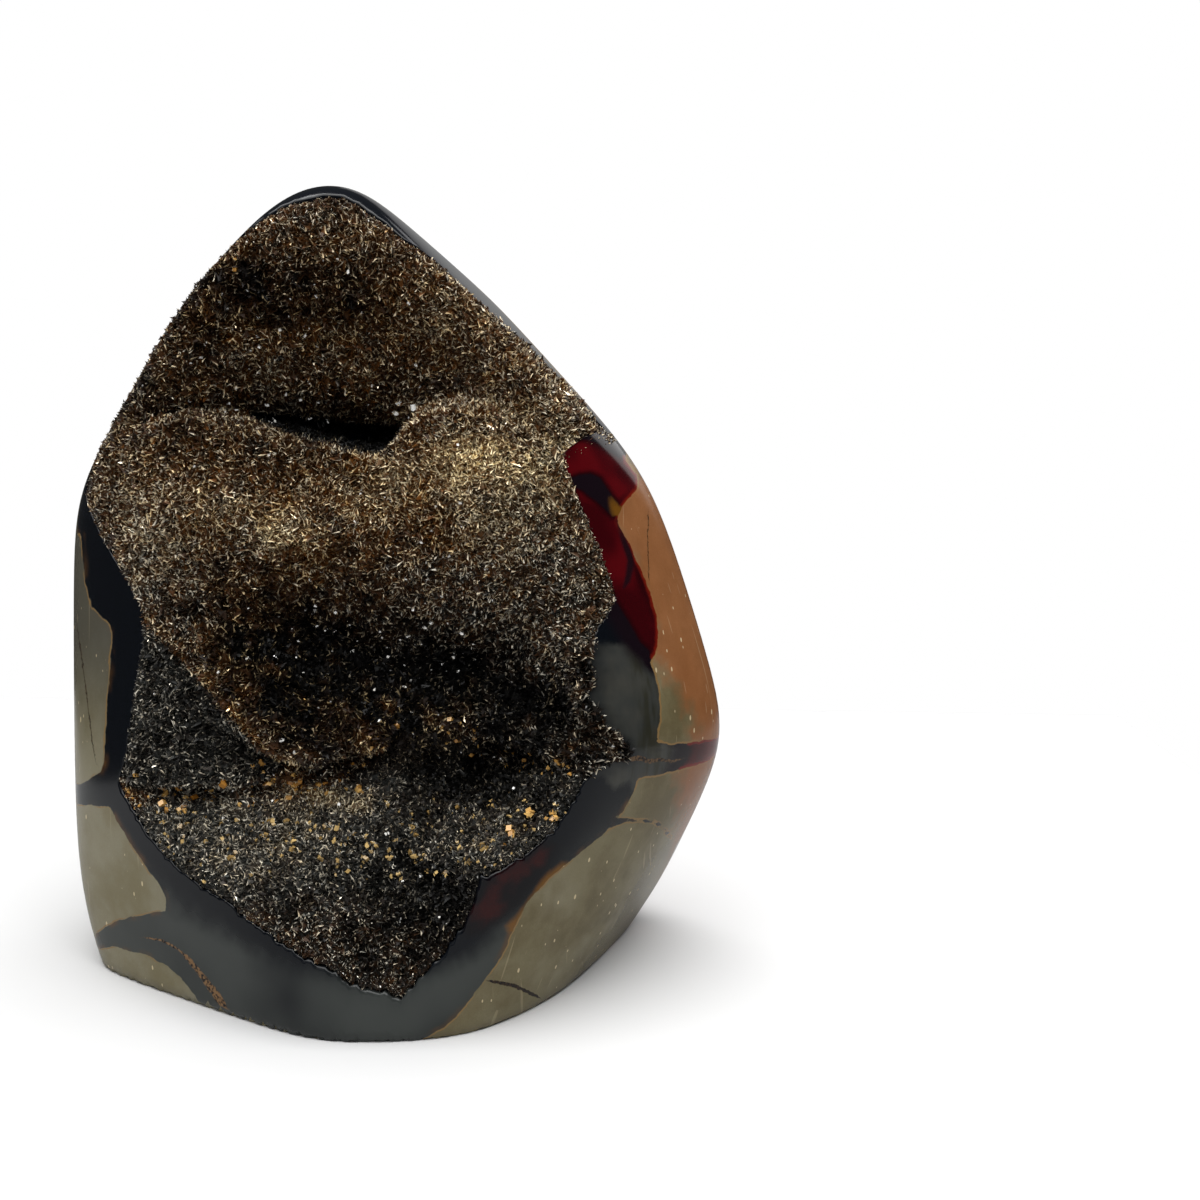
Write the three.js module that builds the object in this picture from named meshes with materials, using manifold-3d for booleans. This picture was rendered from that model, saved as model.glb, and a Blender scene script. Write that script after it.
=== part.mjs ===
// Septarian nodule: a ground and polished stone that stands on a flat base, open at the front on a hollow.
// The hollow is lined all over with one crust of grown-together crystals.
// Millimetres, +Z up. The open side faces -Y. The origin is the middle of the base.

import * as THREE from 'three';
import { mergeVertices } from 'three/addons/utils/BufferGeometryUtils.js';
import Module from 'manifold-3d';

const wasm = await Module();
wasm.setup();

// ---- The stone's ground outside ----

// Every surface is measured outwards from this inner point.
const heart = new THREE.Vector3(1.9, 2, 52);

// How far the edges between the flats are rounded.
const edgeSoftness = 2.2;

// Each ground flat faces a bearing (0 is +X, -90 the open side) and a tilt above level, in degrees,
// and lies at its reach from the heart.
const flats = [
  { name: 'front', bearing: -88, tilt: 13, reach: 26.5 },
  { name: 'front foot', bearing: -82, tilt: -3, reach: 38 },
  { name: 'front left foot', bearing: -123, tilt: -7, reach: 40.5 },
  { name: 'left side', bearing: 180, tilt: -1, reach: 50 },
  { name: 'left shoulder', bearing: 176, tilt: 39, reach: 48.5 },
  { name: 'crown', bearing: -100, tilt: 69, reach: 59.5 },
  { name: 'right shoulder', bearing: -5, tilt: 46, reach: 39.5 },
  { name: 'right side', bearing: -16, tilt: 17, reach: 42 },
  { name: 'right underside', bearing: -20, tilt: -28, reach: 50 },
  { name: 'front right foot', bearing: -44, tilt: -13, reach: 42.5 },
  { name: 'front right cheek', bearing: -41, tilt: 15, reach: 35.5 },
  { name: 'front left cheek', bearing: -136, tilt: 5, reach: 37.5 },
  { name: 'back', bearing: 90, tilt: -2, reach: 30.5 },
  { name: 'back right', bearing: 44, tilt: 13, reach: 28.5 },
  { name: 'back left', bearing: 136, tilt: 4, reach: 41.5 },
  { name: 'back slope', bearing: 96, tilt: 44, reach: 40.5 },
  { name: 'back foot', bearing: 85, tilt: -34, reach: 42 },
  { name: 'back left foot', bearing: 147, tilt: -30, reach: 54.5 },
  { name: 'base edge', bearing: 0, tilt: -90, reach: 75 },
];

// ---- The hollow's mouth ----

// Corners of the mouth: [turn anticlockwise from +X, opening angle away from -Y], both in degrees.
const mouthCorners = [
  [1.5, 50.5], [8.5, 57.8], [26, 57.2], [36, 60], [43, 69], [49, 79.5], [54, 82], [57, 81.5], [69, 79.5],
  [75, 77.5], [84, 77.5], [89, 76], [97.5, 79], [106, 77.5], [118, 76], [130, 76], [142, 81.5],
  [156, 86.5], [161, 85.5], [166, 77], [172, 66], [177, 60], [184, 59], [196, 62.5], [206, 66],
  [211, 69.5], [224, 62.5], [232, 58], [240, 53.5], [250, 51], [260, 50.5], [274, 53], [287, 49],
  [293.5, 45.6], [303, 47], [313, 48.9], [325, 49.8], [333, 57], [338, 50.5], [343.6, 46.5],
  [354, 46.6],
];
const mouthSmoothing = 20;
const cornerSharpness = 5;

// ---- The hollow's floor ----

const crustThickness = 2.4;
const seatGap = 0.3;

// Depths behind the skin: of the crust at the rim, and how much deeper each part of it lies.
const crustRecess = 1.6;
const upperDepth = 1.5;
const crownDepth = 9.5;
const browDepth = 2;
const middleLean = 3;
const wallDepth = 7.5;
const wallLean = 2.5;
const sillDepth = 1.2;
const floorLean = 9.5;

// Heights over which the leaning parts reach that depth.
const middleLeanHeights = [70, 52];
const wallLeanHeights = [45, 33];
const floorLeanHeights = [16, 33];

// Shares of the way from the middle to the rim at which each part starts to rise to the rim.
const upperRise = 0.72;
const browRise = 0.6;
const wallRise = 0.55;
const swellRise = 0.8;
const lumpRise = 0.9;

// The crust sinks straight back in the middle and towards the heart where the skin turns away:
// over the first pair of opening angles near the rim, and over the second pair everywhere.
const rimTurn = [55, 80];
const rimShare = [0.74, 1];
const sideTurn = [74, 94];

// Rounded dips (+) and lumps (-): middle x and z, half width and height, turn in degrees, depth.
const upperSwells = [
  { name: 'black gap', x: -7, z: 76, wide: 12.5, high: 4, turn: -4, deep: 15 },
  { name: 'right slope', x: 25, z: 82, wide: 10, high: 9, turn: -30, deep: -5 },
  { name: 'left slope', x: -36, z: 84, wide: 9, high: 8, turn: 40, deep: -5 },
  { name: 'wall swell', x: 0, z: 88, wide: 8, high: 5, turn: 0, deep: -1.8 },
];
const middleSwells = [
  { name: 'dip over the hanging lobe', x: -7.5, z: 50.5, wide: 10, high: 5, turn: -20, deep: 6.5 },
  { name: 'black hollow', x: 12, z: 46, wide: 13, high: 7, turn: -14, deep: 10 },
  { name: 'black tail', x: 28, z: 42.5, wide: 9, high: 4.5, turn: -32, deep: 4 },
  { name: 'left brow', x: -11, z: 66, wide: 14, high: 4.5, turn: -15, deep: -2.2 },
  { name: 'right brow', x: 13, z: 72, wide: 9, high: 6, turn: 0, deep: -2.4 },
  { name: 'fold between the brows', x: -1, z: 70, wide: 4, high: 6, turn: 10, deep: 1.5 },
  { name: 'hanging lobe', x: -13, z: 43, wide: 8, high: 5, turn: -25, deep: -2 },
];
const floorSwells = [
  { name: 'hollow behind the sill', x: 12.5, z: 32, wide: 8, high: 4.5, turn: 0, deep: 5 },
  { name: 'sill', x: 17, z: 25.5, wide: 9, high: 2.5, turn: 8, deep: -1.5 },
  { name: 'mound', x: 5.5, z: 40, wide: 5, high: 4, turn: 0, deep: -3 },
  { name: 'foot dip', x: 4, z: 19, wide: 7, high: 3.5, turn: 20, deep: 1.6 },
];

// Edges where the crust steps back, as [x, z] from left to right.
const crownEdge = [
  [-48, 84], [-34, 91], [-24, 96.5], [-10, 98.5], [0, 98], [9, 94], [20, 85], [40, 70],
];
const shelfEdge = [
  [-48, 77], [-35, 79], [-25, 79.5], [-15.5, 78], [-6, 75.6], [-0.7, 74.6], [2.5, 77], [6, 80.2],
  [10.7, 81.6], [15, 80.8], [19, 78.8], [24, 76], [40, 74],
];
const lobeEdge = [
  [-40, 56], [-31, 53], [-26.5, 49], [-21.5, 40.2], [-15, 36], [-8.3, 34.4], [-3, 36.5], [1, 36],
  [6, 30], [40, 26],
];
const floorEdge = [
  [-50, 27.5], [-36.5, 28.9], [-18.6, 30.9], [-6, 31.5], [0, 35.5], [5.5, 43], [10.5, 40.5], [17, 37],
  [28, 35], [40, 35],
];
const stepWidth = 1.1;
const crownStep = 4.5;

// To the right the step under the crown loses this share of its depth, between these places.
const crownFade = 0.6;
const crownFadePlaces = [0, 22];

// ---- Crystals and mesh steps ----

const crystalHeight = 1.3;
const crystalSpread = 0.5;
const crystalShift = 0.45;
const rimCrystal = 0.4;
const crystalRise = 0.86;
const lumpHeight = 0.45;
const lumpWidth = 2.86;
const lumpLength = 2.5;
const floorRings = 13;
const crustRings = 2 * floorRings;
const floorSpan = 0.975;
const middleStretch = 0.35;
const edgePullIn = 0.08;
const leastCrust = 1;
const backEasing = 0.5;
const skinBands = 22;
const frontCrowding = 1.25;

// ---- Small tools ----

const degrees = Math.PI / 180;

function smoothStep(low, high, value) {
  const t = Math.min(1, Math.max(0, (value - low) / (high - low)));
  return t * t * (3 - 2 * t);
}

// Height of an open line of [x, z] corners at x.
function alongLine(corners, x) {
  const next = corners.findIndex((corner) => corner[0] > x);
  if (next === 0) return corners[0][1];
  if (next < 0) return corners[corners.length - 1][1];
  const [x0, z0] = corners[next - 1];
  const [x1, z1] = corners[next];
  return z0 + (z1 - z0) * (x - x0) / (x1 - x0);
}

// A repeatable number from 0 to 1 for each whole-number pair.
function scatter(a, b) {
  const wave = Math.sin(a * 127.1 + b * 311.7) * 43758.5453;
  return wave - Math.floor(wave);
}

function direction(opening, turn) {
  const side = Math.sin(opening);
  return new THREE.Vector3(side * Math.cos(turn), -Math.cos(opening), side * Math.sin(turn));
}

// ---- The outside ----

const faces = flats.map(({ bearing, tilt, reach }) => {
  const level = Math.cos(tilt * degrees);
  const out = new THREE.Vector3(
    level * Math.cos(bearing * degrees),
    level * Math.sin(bearing * degrees),
    Math.sin(tilt * degrees),
  );
  return { out, reach };
});

// Distance from the heart to the polished skin: the flats, joined with soft edges.
function skinReach(way) {
  const leastSlope = 0.001;
  const passes = 12;
  const facing = faces.map((face) => ({ slope: way.dot(face.out), reach: face.reach }));
  const ahead = facing.filter((face) => face.slope > leastSlope);
  let distance = Math.min(...ahead.map((face) => face.reach / face.slope));
  for (let pass = 0; pass < passes; pass += 1) {
    let weight = 0;
    let pull = 0;
    for (const face of facing) {
      const share = Math.exp((distance * face.slope - face.reach) / edgeSoftness);
      weight += share;
      pull += share * face.slope;
    }
    distance -= edgeSoftness * Math.log(weight) * weight / pull;
  }
  return distance;
}

function skinPoint(opening, turn) {
  const way = direction(opening, turn);
  return heart.clone().addScaledVector(way, skinReach(way));
}

// ---- The mouth ----

function sharpMouth(turnDegrees) {
  const turn = ((turnDegrees % 360) + 360) % 360;
  const last = mouthCorners[mouthCorners.length - 1];
  const first = mouthCorners[0];
  const round = [[last[0] - 360, last[1]], ...mouthCorners, [first[0] + 360, first[1]]];
  return alongLine(round, turn) * degrees;
}

function softMouth(turnDegrees) {
  let total = 0;
  const samples = 9;
  for (let i = 0; i < samples; i += 1) {
    total += sharpMouth(turnDegrees + mouthSmoothing * (2 * i / (samples - 1) - 1));
  }
  return total / samples;
}

// Opening angle at a share of the way from the middle of the mouth (0) to its rim (1).
function openingAt(share, turn) {
  const soft = softMouth(turn / degrees);
  const sharp = sharpMouth(turn / degrees);
  return share * soft + (sharp - soft) * share ** cornerSharpness;
}

// ---- The crust's relief ----

function swellDepth(swells, x, z) {
  let total = 0;
  for (const swell of swells) {
    const c = Math.cos(swell.turn * degrees);
    const s = Math.sin(swell.turn * degrees);
    const across = ((x - swell.x) * c + (z - swell.z) * s) / swell.wide;
    const up = ((z - swell.z) * c - (x - swell.x) * s) / swell.high;
    total += swell.deep * Math.exp(-across * across - up * up);
  }
  return total;
}

// How far the crust's face lies behind the skin. share is 1 at the rim.
function reliefDepth(x, z, share) {
  const rim = smoothStep(1, upperRise, share);
  const nearRim = smoothStep(1, swellRise, share);
  const fade = 1 - crownFade * smoothStep(...crownFadePlaces, x);
  const underCrown = fade * smoothStep(-crownStep, crownStep, alongLine(crownEdge, x) - z);
  const upper = rim * (upperDepth + crownDepth * underCrown + swellDepth(upperSwells, x, z));
  const middle = browDepth * smoothStep(1, browRise, share) + nearRim * swellDepth(middleSwells, x, z)
    + middleLean * rim * smoothStep(...middleLeanHeights, z);
  const lowWall = smoothStep(1, wallRise, share) * (wallDepth + wallLean * smoothStep(...wallLeanHeights, z));
  const floor = nearRim * (sillDepth + floorLean * smoothStep(...floorLeanHeights, z)
    + swellDepth(floorSwells, x, z));

  const overLobe = smoothStep(-stepWidth, stepWidth, z - alongLine(lobeEdge, x));
  const overFloor = smoothStep(-stepWidth, stepWidth, z - alongLine(floorEdge, x));
  const overShelf = smoothStep(-stepWidth, stepWidth, z - alongLine(shelfEdge, x));
  const wall = middle * overLobe + lowWall * (1 - overLobe);
  const lower = wall * overFloor + floor * (1 - overFloor);
  return crustRecess + lower * (1 - overShelf) + upper * overShelf;
}

function heartwardShare(share, openingDegrees) {
  const nearRim = smoothStep(...rimTurn, openingDegrees) * smoothStep(...rimShare, share);
  return Math.max(nearRim, smoothStep(...sideTurn, openingDegrees));
}

// A place in the hollow: its point on the crust's face and the way in from there.
function hollowPlace(share, turn) {
  const opening = openingAt(share, turn);
  const way = direction(opening, turn);
  const point = heart.clone().addScaledVector(way, skinReach(way));
  const heartward = heartwardShare(share, opening / degrees);
  const inward = new THREE.Vector3(0, 1 - heartward, 0).addScaledVector(way, -heartward).normalize();
  const lump = Math.sin(point.x / lumpWidth + 1) * Math.sin(point.z / lumpLength);
  const depth = reliefDepth(point.x, point.z, share) + lumpHeight * lump * smoothStep(1, lumpRise, share);
  point.addScaledVector(inward, depth);
  return { point, inward };
}

// ---- Round lattices: ring k holds 6k evenly turned points, so all cells are triangles ----

const sides = [[1, 0], [0, 1], [-1, 1], [-1, 0], [0, -1], [1, -1]];

// One of three colours for point i of a ring, and no two neighbours share one.
function latticeColour(ring, i) {
  if (ring === 0) return 0;
  const sector = Math.floor(i / ring);
  const step = i % ring;
  const [q0, r0] = sides[sector];
  const [q1, r1] = sides[(sector + 2) % 6];
  const q = ring * q0 + step * q1;
  const r = ring * r0 + step * r1;
  return (((q - r) % 3) + 3) % 3;
}

function ringStart(ring) {
  return ring === 0 ? 0 : 1 + 3 * ring * (ring - 1);
}

// Share of the way to the rim for a ring: steps are wider near the middle, which lies closer to the heart.
function ringShare(ring, rings) {
  const even = ring / rings;
  return floorSpan * even * (1 + middleStretch * (1 - even));
}

function ringTurn(ring, i) {
  return ring === 0 ? 0 : 2 * Math.PI * i / (6 * ring);
}

// Triangles of a round lattice, facing -Y when every point's turn runs from +X towards +Z.
function latticeTriangles(rings) {
  const triangles = [];
  for (let ring = 1; ring <= rings; ring += 1) {
    const outer = ringStart(ring);
    const inner = ringStart(ring - 1);
    const innerCount = Math.max(1, 6 * (ring - 1));
    for (let sector = 0; sector < 6; sector += 1) {
      for (let step = 0; step < ring; step += 1) {
        const a = outer + sector * ring + step;
        const b = outer + (sector * ring + step + 1) % (6 * ring);
        const c = inner + (sector * (ring - 1) + step) % innerCount;
        triangles.push([a, b, c]);
        if (step < ring - 1) {
          const d = inner + (sector * (ring - 1) + step + 1) % innerCount;
          triangles.push([b, d, c]);
        }
      }
    }
  }
  return triangles;
}

function geometryFrom(points, triangles) {
  const geometry = new THREE.BufferGeometry();
  const flat = points.flatMap((point) => [point.x, point.y, point.z]);
  geometry.setAttribute('position', new THREE.Float32BufferAttribute(flat, 3));
  geometry.setIndex(triangles.flat());
  return geometry;
}

// ---- The hollow's floor in the stone, and the crust that lies on it ----

// Draws each point inside the rim part of the way to the middle of its neighbours, which softens folds.
function easeFolds(points, triangles, rimStart) {
  const sums = points.map(() => new THREE.Vector3());
  const counts = points.map(() => 0);
  for (const corners of triangles) {
    corners.forEach((corner, k) => {
      sums[corner].add(points[corners[(k + 1) % 3]]).add(points[corners[(k + 2) % 3]]);
      counts[corner] += 2;
    });
  }
  for (let i = 0; i < rimStart; i += 1) points[i].lerp(sums[i].divideScalar(counts[i]), backEasing);
}

// The crust's back: points at its thickness behind its face, ring by ring, with softened folds.
function backPoints() {
  const points = [];
  for (let ring = 0; ring <= floorRings; ring += 1) {
    for (let i = 0; i < Math.max(1, 6 * ring); i += 1) {
      const { point, inward } = hollowPlace(ringShare(ring, floorRings), ringTurn(ring, i));
      points.push(point.addScaledVector(inward, crustThickness));
    }
  }
  easeFolds(points, latticeTriangles(floorRings), ringStart(floorRings));
  return points;
}

// Draws the outermost ring a little towards the ring inside it.
function pullRimIn(points, rings) {
  const outer = ringStart(rings);
  const inner = ringStart(rings - 1);
  for (let i = 0; i < 6 * rings; i += 1) {
    const inside = points[inner + Math.round(i * (rings - 1) / rings) % (6 * (rings - 1))];
    points[outer + i].lerp(inside, edgePullIn);
  }
}

// The lattice points of the coarse back that a fine front point lies over: one, or the two beside it.
function backNeighbours(ring, i) {
  if (ring === 0) return [0];
  const sector = Math.floor(i / ring);
  const step = i % ring;
  const low = Math.floor(ring / 2);
  const high = Math.ceil(ring / 2);
  const place = (coarse, along) => {
    if (coarse === 0) return 0;
    return ringStart(coarse) + (sector * coarse + along) % (6 * coarse);
  };
  if (ring % 2 === 0) return [place(low, Math.floor(step / 2)), place(low, Math.ceil(step / 2))];
  if (step % 2 === 0) return [place(low, step / 2), place(high, step / 2)];
  return [place(low, (step - 1) / 2), place(high, (step + 1) / 2)];
}

// The crust's face without crystals. It stays ahead of the coarser back by the least thickness.
function crustFace(back) {
  const points = [];
  for (let ring = 0; ring <= crustRings; ring += 1) {
    for (let i = 0; i < Math.max(1, 6 * ring); i += 1) {
      const { point, inward } = hollowPlace(ringShare(ring, crustRings), ringTurn(ring, i));
      const [one, two] = backNeighbours(ring, i);
      const behind = back[one].clone().lerp(back[two ?? one], 0.5);
      const room = behind.sub(point).dot(inward);
      point.addScaledVector(inward, Math.min(0, room - leastCrust));
      points.push(point);
    }
  }
  return points;
}

// The rim of the face stands straight over the rim of the back.
function setFaceRim(face, back) {
  const faceStart = ringStart(crustRings);
  const backStart = ringStart(floorRings);
  for (let i = 0; i < 6 * floorRings; i += 1) {
    const { inward } = hollowPlace(floorSpan, ringTurn(floorRings, i));
    face[faceStart + 2 * i].copy(back[backStart + i]).addScaledVector(inward, -crustThickness);
  }
  for (let i = 0; i < 6 * floorRings; i += 1) {
    const next = faceStart + (2 * i + 2) % (6 * crustRings);
    face[faceStart + 2 * i + 1].copy(face[faceStart + 2 * i]).lerp(face[next], 0.5);
  }
}

function pointNormals(points, triangles) {
  const normals = points.map(() => new THREE.Vector3());
  for (const [a, b, c] of triangles) {
    const side = points[b].clone().sub(points[a]);
    const normal = side.cross(points[c].clone().sub(points[a]));
    for (const corner of [a, b, c]) normals[corner].add(normal);
  }
  return normals.map((normal) => normal.normalize());
}

// Raises every third lattice point, so that each one is the tip of a six-sided crystal, lower near the rim.
function raiseCrystals(face, triangles) {
  const normals = pointNormals(face, triangles);
  for (let ring = 0; ring < crustRings - 1; ring += 1) {
    const full = rimCrystal + (1 - rimCrystal) * smoothStep(1, crystalRise, ring / crustRings);
    for (let i = 0; i < Math.max(1, 6 * ring); i += 1) {
      if (latticeColour(ring, i) !== 0) continue;
      const at = ringStart(ring) + i;
      const height = full * crystalHeight * (1 + crystalSpread * (2 * scatter(ring, i) - 1));
      face[at].addScaledVector(normals[at], height);
      face[at].x += crystalShift * (2 * scatter(i, ring + 31) - 1);
      face[at].z += crystalShift * (2 * scatter(i + 57, ring) - 1);
    }
  }
}

function buildCrust() {
  const back = backPoints();
  pullRimIn(back, floorRings);
  const face = crustFace(back);
  setFaceRim(face, back);
  const faceTriangles = latticeTriangles(crustRings);
  raiseCrystals(face, faceTriangles);

  const offset = face.length;
  const backTriangles = latticeTriangles(floorRings).map(([a, b, c]) => [a + offset, c + offset, b + offset]);
  const edge = [];
  const faceStart = ringStart(crustRings);
  const backStart = offset + ringStart(floorRings);
  for (let i = 0; i < 6 * floorRings; i += 1) {
    const next = (i + 1) % (6 * floorRings);
    const [f0, f1, f2] = [faceStart + 2 * i, faceStart + 2 * i + 1, faceStart + 2 * next];
    edge.push([f0, backStart + i, f1], [f1, backStart + i, backStart + next], [f1, backStart + next, f2]);
  }
  return geometryFrom([...face, ...back], [...faceTriangles, ...backTriangles, ...edge]);
}

// ---- The stone ----

// The floor of the hollow in the stone: the crust's back, moved off it by the seat gap.
function stoneFloor(triangles) {
  const points = backPoints();
  const normals = pointNormals(points, triangles);
  const rimStart = ringStart(floorRings);
  for (let i = 0; i < rimStart; i += 1) points[i].addScaledVector(normals[i], -seatGap);
  for (let i = 0; i < 6 * floorRings; i += 1) {
    const { inward } = hollowPlace(floorSpan, ringTurn(floorRings, i));
    points[rimStart + i].addScaledVector(inward, seatGap);
  }
  return points;
}

// The whole skin from the mouth's rim to the back, closed by the floor of the hollow.
function buildUncutStone() {
  const triangles = latticeTriangles(floorRings);
  const floor = stoneFloor(triangles);
  const points = [...floor];
  const columns = 6 * floorRings;
  let previous = ringStart(floorRings);
  for (let band = 0; band < skinBands; band += 1) {
    const start = points.length;
    for (let i = 0; i < columns; i += 1) {
      const turn = ringTurn(floorRings, i);
      const rim = sharpMouth(turn / degrees);
      const along = (band / skinBands) ** frontCrowding;
      points.push(skinPoint(rim + (Math.PI - rim) * along, turn));
    }
    for (let i = 0; i < columns; i += 1) {
      const next = (i + 1) % columns;
      triangles.push([previous + i, start + i, previous + next], [start + i, start + next, previous + next]);
    }
    previous = start;
  }
  const backPole = points.length;
  points.push(skinPoint(Math.PI, 0));
  for (let i = 0; i < columns; i += 1) {
    triangles.push([previous + i, backPole, previous + (i + 1) % columns]);
  }
  return geometryFrom(points, triangles);
}

function toSolid(geometry) {
  const weldDistance = 1e-5;
  const bare = geometry.clone();
  bare.deleteAttribute('normal');
  bare.deleteAttribute('uv');
  const merged = mergeVertices(bare, weldDistance);
  return new wasm.Manifold(new wasm.Mesh({
    numProp: 3,
    vertProperties: new Float32Array(merged.attributes.position.array),
    triVerts: new Uint32Array(merged.index.array),
  }));
}

function toGeometry(solid) {
  const mesh = solid.getMesh();
  const geometry = new THREE.BufferGeometry();
  geometry.setAttribute('position', new THREE.BufferAttribute(mesh.vertProperties, 3));
  geometry.setIndex(new THREE.BufferAttribute(mesh.triVerts, 1));
  return geometry;
}

// The stone is ground off flat at z = 0, where it stands.
function buildStone() {
  const groundSize = 300;
  const ground = new THREE.BoxGeometry(groundSize, groundSize, groundSize);
  ground.translate(0, 0, -groundSize / 2);
  return toGeometry(toSolid(buildUncutStone()).subtract(toSolid(ground)));
}

// ---- The object ----

const polishedStone = new THREE.MeshStandardMaterial({ color: 0x4a463a, roughness: 0.12, metalness: 0 });
const crystalCrust = new THREE.MeshStandardMaterial({ color: 0x6b5a42, roughness: 0.4, metalness: 0 });

function namedMesh(name, geometry, material) {
  geometry.computeVertexNormals();
  const mesh = new THREE.Mesh(geometry, material);
  mesh.name = name;
  return mesh;
}

const septarianNodule = new THREE.Group();
septarianNodule.add(namedMesh('nodule', buildStone(), polishedStone));
septarianNodule.add(namedMesh('druse_crust', buildCrust(), crystalCrust));

export default septarianNodule;
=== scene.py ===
import math

import bpy
import numpy as np
from mathutils import Matrix, Vector


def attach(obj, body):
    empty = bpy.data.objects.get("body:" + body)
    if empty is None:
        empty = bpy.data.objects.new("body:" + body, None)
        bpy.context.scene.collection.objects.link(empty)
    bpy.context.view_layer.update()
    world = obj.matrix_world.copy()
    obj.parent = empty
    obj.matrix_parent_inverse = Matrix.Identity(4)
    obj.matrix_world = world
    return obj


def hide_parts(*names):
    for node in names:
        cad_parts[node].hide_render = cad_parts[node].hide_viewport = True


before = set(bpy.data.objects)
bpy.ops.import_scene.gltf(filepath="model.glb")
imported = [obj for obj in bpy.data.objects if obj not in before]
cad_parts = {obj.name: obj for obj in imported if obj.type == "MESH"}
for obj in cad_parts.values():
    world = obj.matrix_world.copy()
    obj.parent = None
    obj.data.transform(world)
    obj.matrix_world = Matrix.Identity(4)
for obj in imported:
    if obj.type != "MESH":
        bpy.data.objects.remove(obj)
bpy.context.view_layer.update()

# Lengths below are in millimetres. Meshes are written in metres.
MM = 0.001
DEGREE = math.pi / 180
FRONT = np.array((0.0, 1.0, 0.0))

# ---- The ground outside of the stone ----

HEART = np.array((1.9, 2.0, 52.0))
EDGE_SOFTNESS = 2.2
BASE_SOFTNESS = 0.25

# Each ground flat: bearing (0 is +X, -90 the open side), tilt above level, reach from the heart.
FLATS = np.array((
    (-88, 13, 26.5), (-82, -3, 38), (-123, -7, 40.5), (180, -1, 50), (176, 39, 48.5),
    (-100, 69, 59.5), (-5, 46, 39.5), (-16, 17, 42), (-20, -28, 50), (-44, -13, 42.5),
    (-41, 15, 35.5), (-136, 5, 37.5), (90, -2, 30.5), (44, 13, 28.5), (136, 4, 41.5),
    (96, 44, 40.5), (85, -34, 42), (147, -30, 54.5),
))

# ---- The mouth of the hollow: (turn anticlockwise from +X, opening angle away from -Y) ----

MOUTH = np.array((
    (1.5, 50.5), (8.5, 57.8), (26, 57.2), (34, 58), (39, 59.3), (41, 61.5), (42, 70), (43, 85),
    (45, 80.5), (47, 79.8), (51, 82), (57, 81.5), (69, 79.5), (75, 77.5), (84, 77.5), (89, 76),
    (97.5, 79), (106, 77.5), (118, 76), (130, 76), (142, 81.5), (156, 86.5), (161, 85.5), (166, 77),
    (172, 66), (177, 60), (184, 59), (196, 62.5), (206, 66), (211, 69.5), (224, 62.5), (232, 58),
    (240, 53.5), (250, 51), (260, 50.5), (274, 53), (287, 49), (293.5, 45.6), (303, 47), (313, 48.9),
    (325, 49.8), (330, 51.7), (333, 59), (336, 54.5), (337.5, 50.6), (340.5, 49), (343.5, 45.5),
    (346.5, 47.6), (354, 46.6),
))

# Over the red lobes the rim doubles back: how far each of these turns is moved along it.
RIM_SHIFTS = (
    (25, 0), (32, 3.2), (36, 4.1), (39, 5.1), (41, 5.4), (42, 1.2), (43, -3.8), (45, -2), (47, -1), (50, 0),
)
SHIFT_SHARPNESS = 4

# Fine raggedness of the rim: amplitude in degrees, and how many waves go round.
RIM_RAGGEDNESS = 0.09
RIM_WAVES = (47, 83, 131, 173, 211)
MOUTH_SMOOTHING = 20
MOUTH_SAMPLES = 9
CORNER_SHARPNESS = 5

# ---- The relief of the crystal crust ----

CRUST_RECESS = 1.6
CRUST_LIFT, RIM_LIFT, RIM_LIFT_SHARE = 0.5, 0.7, (0.88, 0.99)
CRUST_SPAN = 0.996
UPPER_DEPTH, CROWN_DEPTH = 1.5, 9.5
BROW_DEPTH, MIDDLE_LEAN = 2.0, 3.0
WALL_DEPTH, WALL_LEAN = 7.5, 2.5
SILL_DEPTH, FLOOR_LEAN = 1.2, 9.5
MIDDLE_LEAN_HEIGHTS = (70, 52)
WALL_LEAN_HEIGHTS = (45, 33)
FLOOR_LEAN_HEIGHTS = (16, 33)
UPPER_RISE, BROW_RISE, WALL_RISE, SWELL_RISE, LUMP_RISE = 0.72, 0.6, 0.55, 0.8, 0.9
STEP_WIDTH, CROWN_STEP = 1.1, 4.5
CROWN_FADE, CROWN_FADE_PLACES = 0.6, (0, 22)
RIM_TURN, RIM_SHARE, SIDE_TURN = (55, 80), (0.74, 1), (74, 94)
LUMP_HEIGHT, LUMP_WIDTH, LUMP_LENGTH = 0.45, 2.86, 2.5

# Rounded dips (+) and lumps (-): middle x, z, half width, half height, turn in degrees, depth.
UPPER_SWELLS = (
    (-7, 76, 12.5, 4, -4, 15), (25, 82, 10, 9, -30, -5), (-36, 84, 9, 8, 40, -5), (0, 88, 8, 5, 0, -1.8),
)
MIDDLE_SWELLS = (
    (-7.5, 50.5, 10, 5, -20, 6.5), (12, 46, 13, 7, -14, 10), (28, 42.5, 9, 4.5, -32, 4),
    (-11, 66, 14, 4.5, -15, -2.2), (13, 72, 9, 6, 0, -2.4), (-1, 70, 4, 6, 10, 1.5), (-13, 43, 8, 5, -25, -2),
)
FLOOR_SWELLS = (
    (12.5, 32, 8, 4.5, 0, 5), (17, 25.5, 9, 2.5, 8, -1.5), (5.5, 40, 5, 4, 0, -3), (4, 19, 7, 3.5, 20, 1.6),
)

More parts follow.
